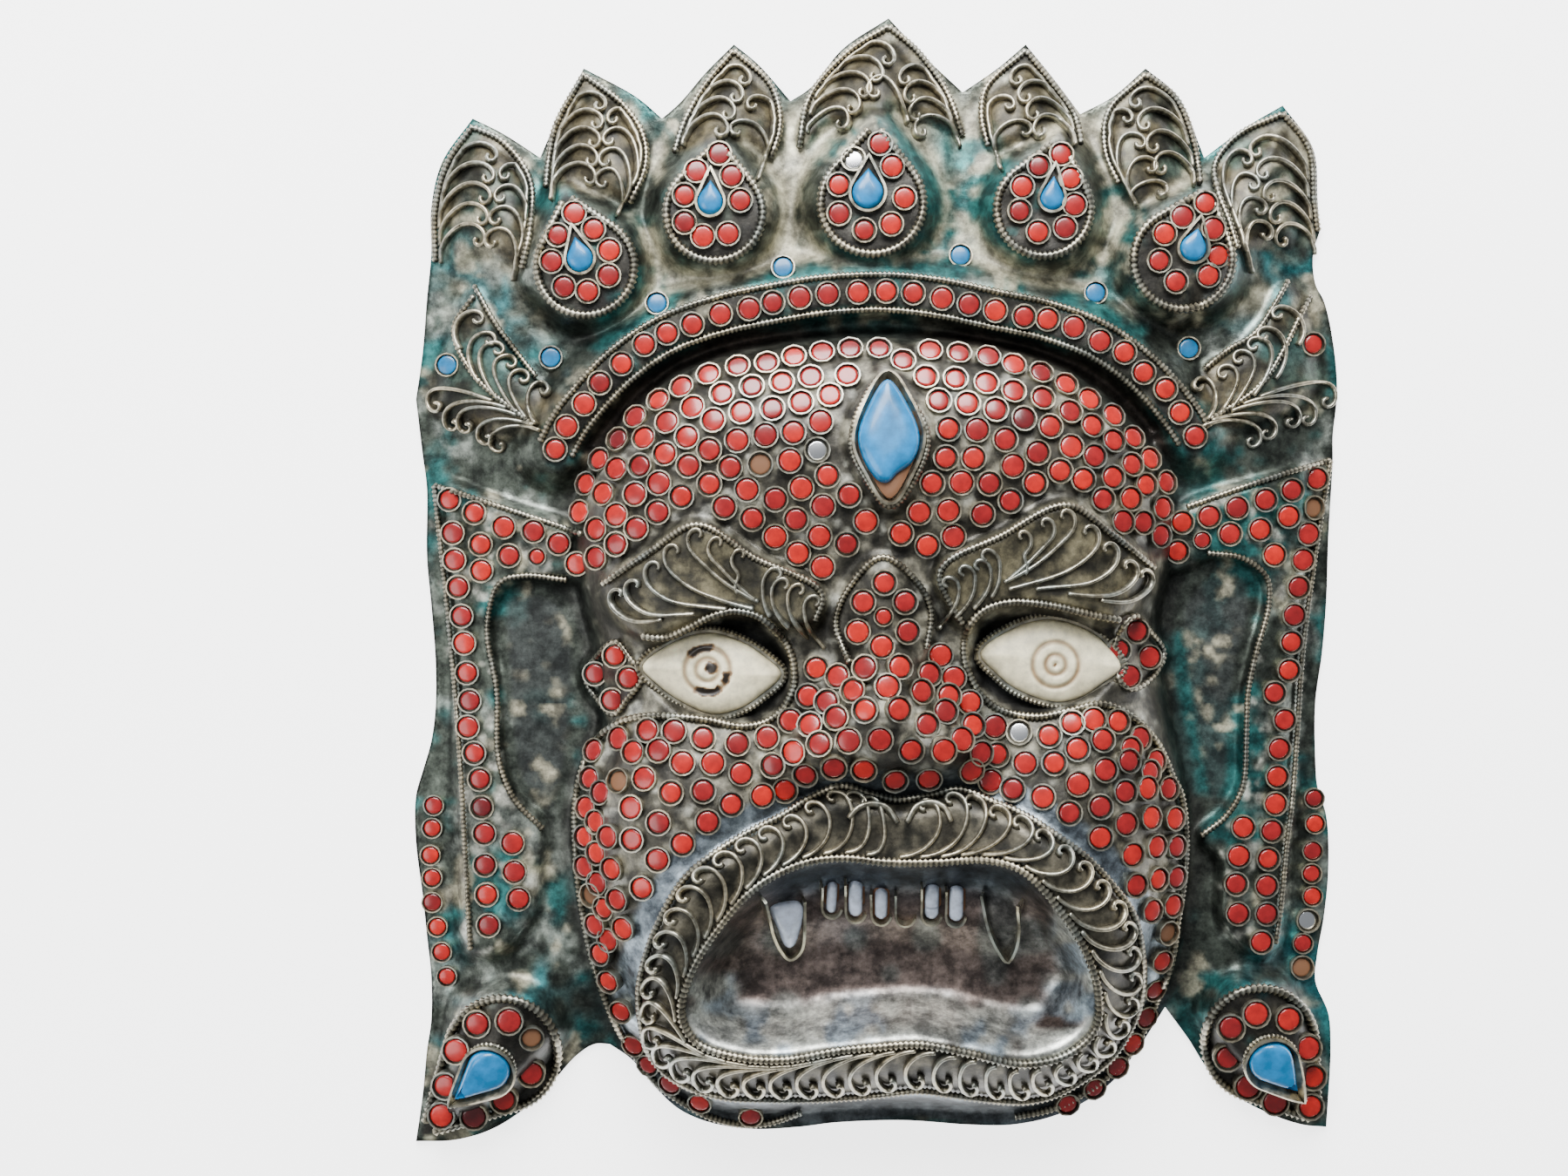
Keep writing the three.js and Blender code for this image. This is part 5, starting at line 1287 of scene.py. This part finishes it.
uprights = {"forehead_left": 0.5, "forehead_right": 0.5, "nose": 0.5, "cheek_left": 0.45, "cheek_right": 0.45,
            "chin_left": 0.5, "chin_right": 0.5}


stoneLook = {"upright": 0.85, "turn": 0.4, "darkTone": 0.1, "tones": (0.3, 1.0), "sizes": (0.9, 1.02), "small": 0.75,
             "floorSize": 0.95, "floorSink": 0.55, "dotCup": 0.96, "dotStone": 0.94, "dotTone": 0.6}


def makeStones():
    look = stoneLook
    for name, spots in stoneSpots.items():
        size, upright = cupSizes.get(name, 1.0), uprights.get(name, look["upright"])
        cups, gems = [], []
        for spot, scale in [(s, size) for s in spots] + [(s, look["small"]) for s in smallSpots.get(name, [])]:
            point = fromPhoto([spot])[0]
            tone = look["darkTone"] if spot in darkSpots else seed.uniform(*look["tones"])
            cups.append(placed(cup, point, scale, seed.uniform(0, look["turn"]), upright=upright))
            small = scale * seed.uniform(*look["sizes"])
            gems.append(placed(gem, point, small, seed.uniform(0, look["turn"]), tone, upright=upright))
        addPiece(name + "_cups", cups, "wire", angle=settingAngle)
        addPiece(name + "_stones", gems, "coral", replacedBy.get(name, ()), angle=studAngle)
    for kind, material in (("foil", "foil"), ("dark", "cement")):
        points = fromPhoto(emptySpots[kind])
        addPiece("empty_cups_" + kind, [placed(cup, p) for p in points], "wire", angle=settingAngle)
        floors = [placed(gem, p, look["floorSize"], sink=look["floorSink"]) for p in points]
        addPiece("cup_floors_" + kind, floors, material, angle=studAngle)


makeStones()
print("small stones set")


dotSpots = [(515, 420), (633, 411), (755, 350), (899, 309), (1102, 295), (1256, 338), (1363, 401)]


def cabochon(line, spacing, root, profile, level=False, lift=0.0):
    line = np.asarray(line, float)
    corners, triangles = triangulated(line, spacing)
    centre = line.mean(0)
    at, normal = seatOf(centre)
    if level:
        normal = np.array([0, 0, 1.0])
    side, ahead = axesOf(normal)
    shrink = 1 - at[2] / eye["height"]
    depth = np.maximum(0, depthIn(line, corners[:, 0], corners[:, 1]))
    rise, tone = profile(corners, depth)
    flat = (corners - centre) * shrink
    base = at + flat[:, :1] * side + flat[:, 1:] * ahead
    v, f = closedSkin(base + (rise + lift)[:, None] * normal, base + (lift - root) * normal, triangles)
    return np.column_stack([v, np.r_[tone, np.where(depth < 1e-6, tone, 1)]]), f


bezelLook = {"step": 0.8, "foot": -1, "tone": 0.9}


def bezel(line, halfWidth, top, closed=True, level=None):
    line = evenly(np.asarray(line, float), bezelLook["step"])
    if closed:
        line = line[:-1]
    path, up = onSheet(line, 0.0, 3, level)
    foot = bezelLook["foot"]
    profile = [(halfWidth, foot), (halfWidth, top), (-halfWidth, top), (-halfWidth, foot)]
    return tube(path, up, profile, np.ones(len(line)), np.full(len(line), bezelLook["tone"]), closed)


def loop(line):
    return np.vstack([line, line[:1]])


thirdEyeStone = [[1.8, 46], [6.4, 40], [9, 33], [8.5, 29], [6.6, 26], [4, 24.2], [1.6, 22], [-0.8, 22.8], [-5, 31.6],
                 [-2.6, 40]]
gemLook = {
    "spacing": 0.6, "root": 1, "thirdRoot": 1.2, "bedSpacing": 0.7,
    "crownDome": (1.1, 1.0, 3), "lowerDome": (1.1, 1.0, 3.4), "thirdDome": (1.6, 1.7, 5), "bedDome": (0.5, 0.5, 3),
    "tone": (0.8, 0.2, 2.5, 12), "chipHeight": 0.35, "crackHalfWidth": 0.35, "chip": 2.6, "steps": 30,
    "crownFit": (0.8, 0.7), "crownWire": (-0.25, 0.7), "lowerWire": (0.5, 1), "lowerBeads": (1.1, 2),
    "crownStrip": (0.28, 1.5), "lowerStrip": (0.3, 1.6), "lowerBead": (0.45, 0.9),
    "thirdOut": 0.5, "thirdStrip": (0.3, 2),
}


def domed(edge, crown, width, chips=(), crack=None):
    def profile(corners, depth):
        rise = edge + crown * arch(depth / width)
        base, share, size, draw = gemLook["tone"]
        tone = base + share * mottle(corners[:, 0], corners[:, 1], size, draw)
        for cx, cy, r in chips:
            gone = np.hypot(corners[:, 0] - cx, corners[:, 1] - cy) < r
            rise = np.where(gone, gemLook["chipHeight"], rise)
        if crack is not None:
            tone = np.where(abs(corners[:, 1] - crack) < gemLook["crackHalfWidth"], 0, tone)
        return rise, tone
    return profile


def grown(drop, radius, reach):
    return dropLine(drop["at"], drop["radius"] + radius, drop["reach"] + reach, drop["lean"], gemLook["steps"])


def makeTurquoise():
    g = gemLook
    narrow, short = g["crownFit"]
    for k, drop in enumerate(crownDrops):
        line = dropLine(drop["at"], drop["radius"] * narrow, drop["reach"] * short, drop["lean"], g["steps"])
        stone = cabochon(anticlockwise(line), g["spacing"], g["root"], domed(*g["crownDome"]))
        addPiece("crown_turquoise_%d" % (k + 1), [stone], "turquoise", ["crown_drop_%d" % (k + 1)], angle=stoneAngle)
        setting = bezel(loop(grown(drop, *g["crownWire"])), *g["crownStrip"])
        addPiece("crown_drop_setting_%d" % (k + 1), [setting], "wire", angle=settingAngle)
    for side, drop in zip(sides, lowerDrops):
        line = dropLine(steps=g["steps"], **drop)
        profile = domed(*g["lowerDome"], [(line[0][0], line[0][1], g["chip"])])
        stone = cabochon(line, g["spacing"], g["root"], profile)
        addPiece("lower_turquoise_" + side, [stone], "turquoise", ["lower_drop_" + side], angle=stoneAngle)
        parts = [bezel(loop(grown(drop, *g["lowerWire"])), *g["lowerStrip"]),
                 beaded(loop(grown(drop, *g["lowerBeads"])), *g["lowerBead"], closed=True)]
        addPiece("lower_drop_setting_" + side, parts, "wire", angle=settingAngle)
    s = stoneLook
    for k, point in enumerate(fromPhoto(dotSpots)):
        dotCup = placed(cup, point, s["dotCup"], upright=s["upright"])
        addPiece("dot_cup_%d" % (k + 1), [dotCup], "wire", angle=settingAngle)
        dot = placed(gem, point, s["dotStone"], tone=s["dotTone"], upright=s["upright"])
        addPiece("dot_turquoise_%d" % (k + 1), [dot], "turquoise", ["turquoise_dot_%d" % (k + 1)], angle=studAngle)
    line = smoothLine(thirdEyeStone, True, 0.8)[:-1][::-1]
    stone = cabochon(line, g["spacing"], g["thirdRoot"], domed(*g["thirdDome"]))
    addPiece("third_eye_turquoise", [stone], "turquoise", ["third_eye_stone"], angle=stoneAngle)
    rim = smoothLine(thirdEyePlan, True)
    bed = cabochon(rim[:-1][::-1], g["bedSpacing"], g["thirdRoot"], domed(*g["bedDome"]))
    addPiece("third_eye_cement", [bed], "cement", angle=stoneAngle)
    setting = bezel(offsetLine(rim, g["thirdOut"]), *g["thirdStrip"])
    addPiece("third_eye_setting", [setting], "wire", angle=settingAngle)


eyeLook = [
    {"centre": fromPhoto([(813, 768)])[0], "rings": (5.2, 2.6), "pupil": 0.4,
     "ink": [(5.1, 70, 148, 1.0), (5.1, 232, 312, 1.0), (4.6, -45, 0, 1.1)], "spot": (1.0, 0.4, 1.6)},
    {"centre": fromPhoto([(1208, 762)])[0], "rings": (5.2, 2.3), "pupil": 0.6, "ink": [], "spot": (0, 0, 0.55)},
]


eyeCarving = {
    "spacing": 0.42, "lift": 0.6, "edge": 1.6, "crown": 3.6, "width": 10, "tone": (0.96, 0.06, 4, 13),
    "ringHalfWidth": 0.95, "ringDepth": 0.6, "ringPaintedShade": 0.42, "inkRough": (0.4, 1.2, 14), "inkFade": 12,
    "inkEdge": 0.35, "spotEdge": 0.4, "pupilDepth": 0.5, "pupilEdge": 0.3, "pupilFade": 0.5,
    "darkest": 0.02,
}


def carvedEye(look):
    c = eyeCarving

    def profile(corners, depth):
        rise = c["edge"] + c["crown"] * arch(depth / c["width"])
        dx, dy = corners[:, 0] - look["centre"][0], corners[:, 1] - look["centre"][1]
        away, angle = np.hypot(dx, dy), np.degrees(np.arctan2(dy, dx))
        base, share, size, draw = c["tone"]
        tone = base + share * mottle(corners[:, 0], corners[:, 1], size, draw)
        for ring in look["rings"]:
            # Each ring is cut into the bone, and painted shade darkens its groove.
            cut = ease(1 - abs(away - ring) / c["ringHalfWidth"])
            rise = rise - c["ringDepth"] * cut
            tone = tone - c["ringPaintedShade"] * cut
        share, size, draw = c["inkRough"]
        rough = share * mottle(corners[:, 0], corners[:, 1], size, draw)
        for ring, first, last, width in look["ink"]:
            turned = np.minimum((angle - first) % 360, (last - angle) % 360)
            within = ((angle - first) % 360 < last - first) * ease(turned / c["inkFade"])
            tone = tone * (1 - ease((width + rough - abs(away - ring)) / c["inkEdge"]) * within)
        sx, sy, size = look["spot"]
        tone = tone * (1 - ease((size + rough - np.hypot(dx - sx, dy - sy)) / c["spotEdge"]))
        pupil = ease((look["pupil"] + c["pupilEdge"] - away) / c["pupilFade"])
        return rise - c["pupilDepth"] * pupil, np.clip(tone, c["darkest"], 1)
    return profile


# The strip round an eye, and the beads outside it: how far out, then the strip's half width and top, the beads'
# radius, pitch and lift.
eyeSetting = {"stripOut": 0.4, "strip": (0.3, 2.5), "beadsOut": 1.15, "beads": (0.52, 1.0, 2.3)}


def makeEyes():
    c, setting = eyeCarving, eyeSetting
    for side, plan, look in zip(sides, eyePlans, eyeLook):
        line = anticlockwise(smoothLine(plan, True, 0.8)[:-1])
        stone = cabochon(line, c["spacing"], 1, carvedEye(look), level=True, lift=c["lift"])
        addPiece("carved_eye_" + side, [stone], "bone", [side + "_eye"])
        rim = smoothLine(plan, True)
        outward = 1.0 if clockwise(rim) else -1.0
        level = seatOf(line.mean(0))[0][2]
        parts = [bezel(offsetLine(rim, setting["stripOut"] * outward), *setting["strip"], level=level),
                 beaded(offsetLine(rim, setting["beadsOut"] * outward), *setting["beads"], True, level)]
        addPiece("eye_setting_" + side, parts, "wire", angle=settingAngle)


toothPlans = [
    {"at": (-11.1, -72.3), "width": 2.4, "height": 8}, {"at": (-5.6, -72.5), "width": 3.3, "height": 9.4},
    {"at": (0.3, -73.9), "width": 2.9, "height": 7.6}, {"at": (11.9, -73.2), "width": 3.3, "height": 9.2},
    {"at": (17.5, -73.8), "width": 3.3, "height": 8.8},
]
emptyTooth = {"at": (5.9, -74.2), "width": 3.3, "height": 7.6}
fangPlan = [[-26, -73.6], [-22, -73], [-18.4, -73.8], [-18, -79], [-19.4, -84.6], [-21, -84.8], [-23.4, -80]]
fangFrame = [[-27, -73], [-25.6, -78], [-23, -84], [-20.6, -86.8], [-18.2, -84.6], [-17.4, -78], [-17.6, -73]]
lostFangFrame = [[23.6, -71.8], [25, -79], [27.4, -84.6], [29.2, -87.2], [31, -84], [32, -78], [32.4, -73.8]]


def toothLine(at, width, height):
    r = width / 2
    a = np.linspace(0, 2 * math.pi, 28)[:-1]
    up = np.sign(np.sin(a)) * (height - width) / 2 + r * np.sin(a)
    return np.column_stack([at[0] + r * np.cos(a), at[1] + up])


# A dome has the height of its edge, the rise of its crown and the width of its slope; a strip its half width and top.
toothLook = {
    "spacing": 0.5, "root": 0.8, "dome": (0.9, 1.3, 1.6), "fangDome": (0.9, 1.5, 3), "crack": (3, -74.4),
    "bedOver": (1, 0.9), "bedSpacing": 0.8, "bedDome": (0.35, 0.2, 1),
    "frameWidth": 4.6, "frameOver": 1.6, "strip": (0.25, 1.3), "fangStrip": (0.3, 1.5),
}


def makeTeeth():
    t = toothLook
    cracked, crackAt = t["crack"]
    for k, plan in enumerate(toothPlans):
        profile = domed(*t["dome"], crack=crackAt if k == cracked else None)
        stone = cabochon(toothLine(**plan), t["spacing"], t["root"], profile)
        addPiece("tooth_%d" % (k + 1), [stone], "glass", ["incisor_%d" % (k + 1)], angle=studAngle)
    frames = []
    for plan in toothPlans + [emptyTooth]:
        ring = toothLine(plan["at"], t["frameWidth"], plan["height"] + t["frameOver"])
        frames.append(bezel(ring[len(ring) // 2:], *t["strip"], closed=False))  # open at the top, as a strip is bent
    wider, longer = t["bedOver"]
    shapes = [toothLine(p["at"], p["width"] + wider, p["height"] + longer) for p in toothPlans]
    beds = [cabochon(shape, t["bedSpacing"], t["root"], domed(*t["bedDome"])) for shape in shapes]
    addPiece("tooth_cement", beds, "cement", angle=studAngle)
    line = anticlockwise(smoothLine(fangPlan, True)[:-1])
    fang = cabochon(line, t["spacing"], t["root"], domed(*t["fangDome"]))
    addPiece("fang_left", [fang], "glass", ["left_fang"], angle=studAngle)
    frames += [bezel(smoothLine(rim), *t["fangStrip"], closed=False) for rim in (fangFrame, lostFangFrame)]
    addPiece("tooth_settings", frames, "wire", angle=settingAngle)


makeTurquoise()
makeEyes()
makeTeeth()
print("large stones, eyes and teeth set")


studio = {
    "floor": 3.0, "floorDrop": 0.0002, "floorGlow": 3.0, "world": 0.32, "worldColour": (0.9, 0.95, 1, 1),
    "key": {"at": (-0.06, 0.55, 0.5), "size": 0.5, "power": 17},
    "fill": {"at": (-0.5, -0.1, 0.6), "size": 0.4, "power": 2},
    "aim": (0, 0, 0.02), "cameraAt": (-0.0212, -0.0019, 0.45), "lens": 45,
}


def makeStudio():
    bpy.ops.mesh.primitive_plane_add(size=studio["floor"], location=(0, 0, -studio["floorDrop"]))
    floor = bpy.context.object
    floor.name = "floor"
    material, _, shader = newMaterial("floor", Base_Color=grey(0.92), Roughness=0.9)
    shader.inputs["Emission Color"].default_value = grey(1)
    shader.inputs["Emission Strength"].default_value = studio["floorGlow"]
    floor.data.materials.append(material)
    floor.select_set(False)
    for name in ("key", "fill"):
        light = studio[name]
        data = bpy.data.lights.new(name, "AREA")
        data.size = light["size"]
        data.energy = light["power"]
        lamp = bpy.data.objects.new(name, data)
        lamp.location = light["at"]
        towards = Vector(studio["aim"]) - Vector(light["at"])
        lamp.rotation_euler = towards.to_track_quat("-Z", "Y").to_euler()
        bpy.context.collection.objects.link(lamp)
    world = bpy.data.worlds.new("studio")
    world.use_nodes = True
    world.node_tree.nodes["Background"].inputs["Color"].default_value = studio["worldColour"]
    world.node_tree.nodes["Background"].inputs["Strength"].default_value = studio["world"]
    bpy.context.scene.world = world
    data = bpy.data.cameras.new("camera")
    data.lens = studio["lens"]
    data.sensor_width = 36
    camera = bpy.data.objects.new("camera", data)
    camera.location = studio["cameraAt"]
    bpy.context.collection.objects.link(camera)
    bpy.context.scene.camera = camera


makeStudio()
print("studio set")
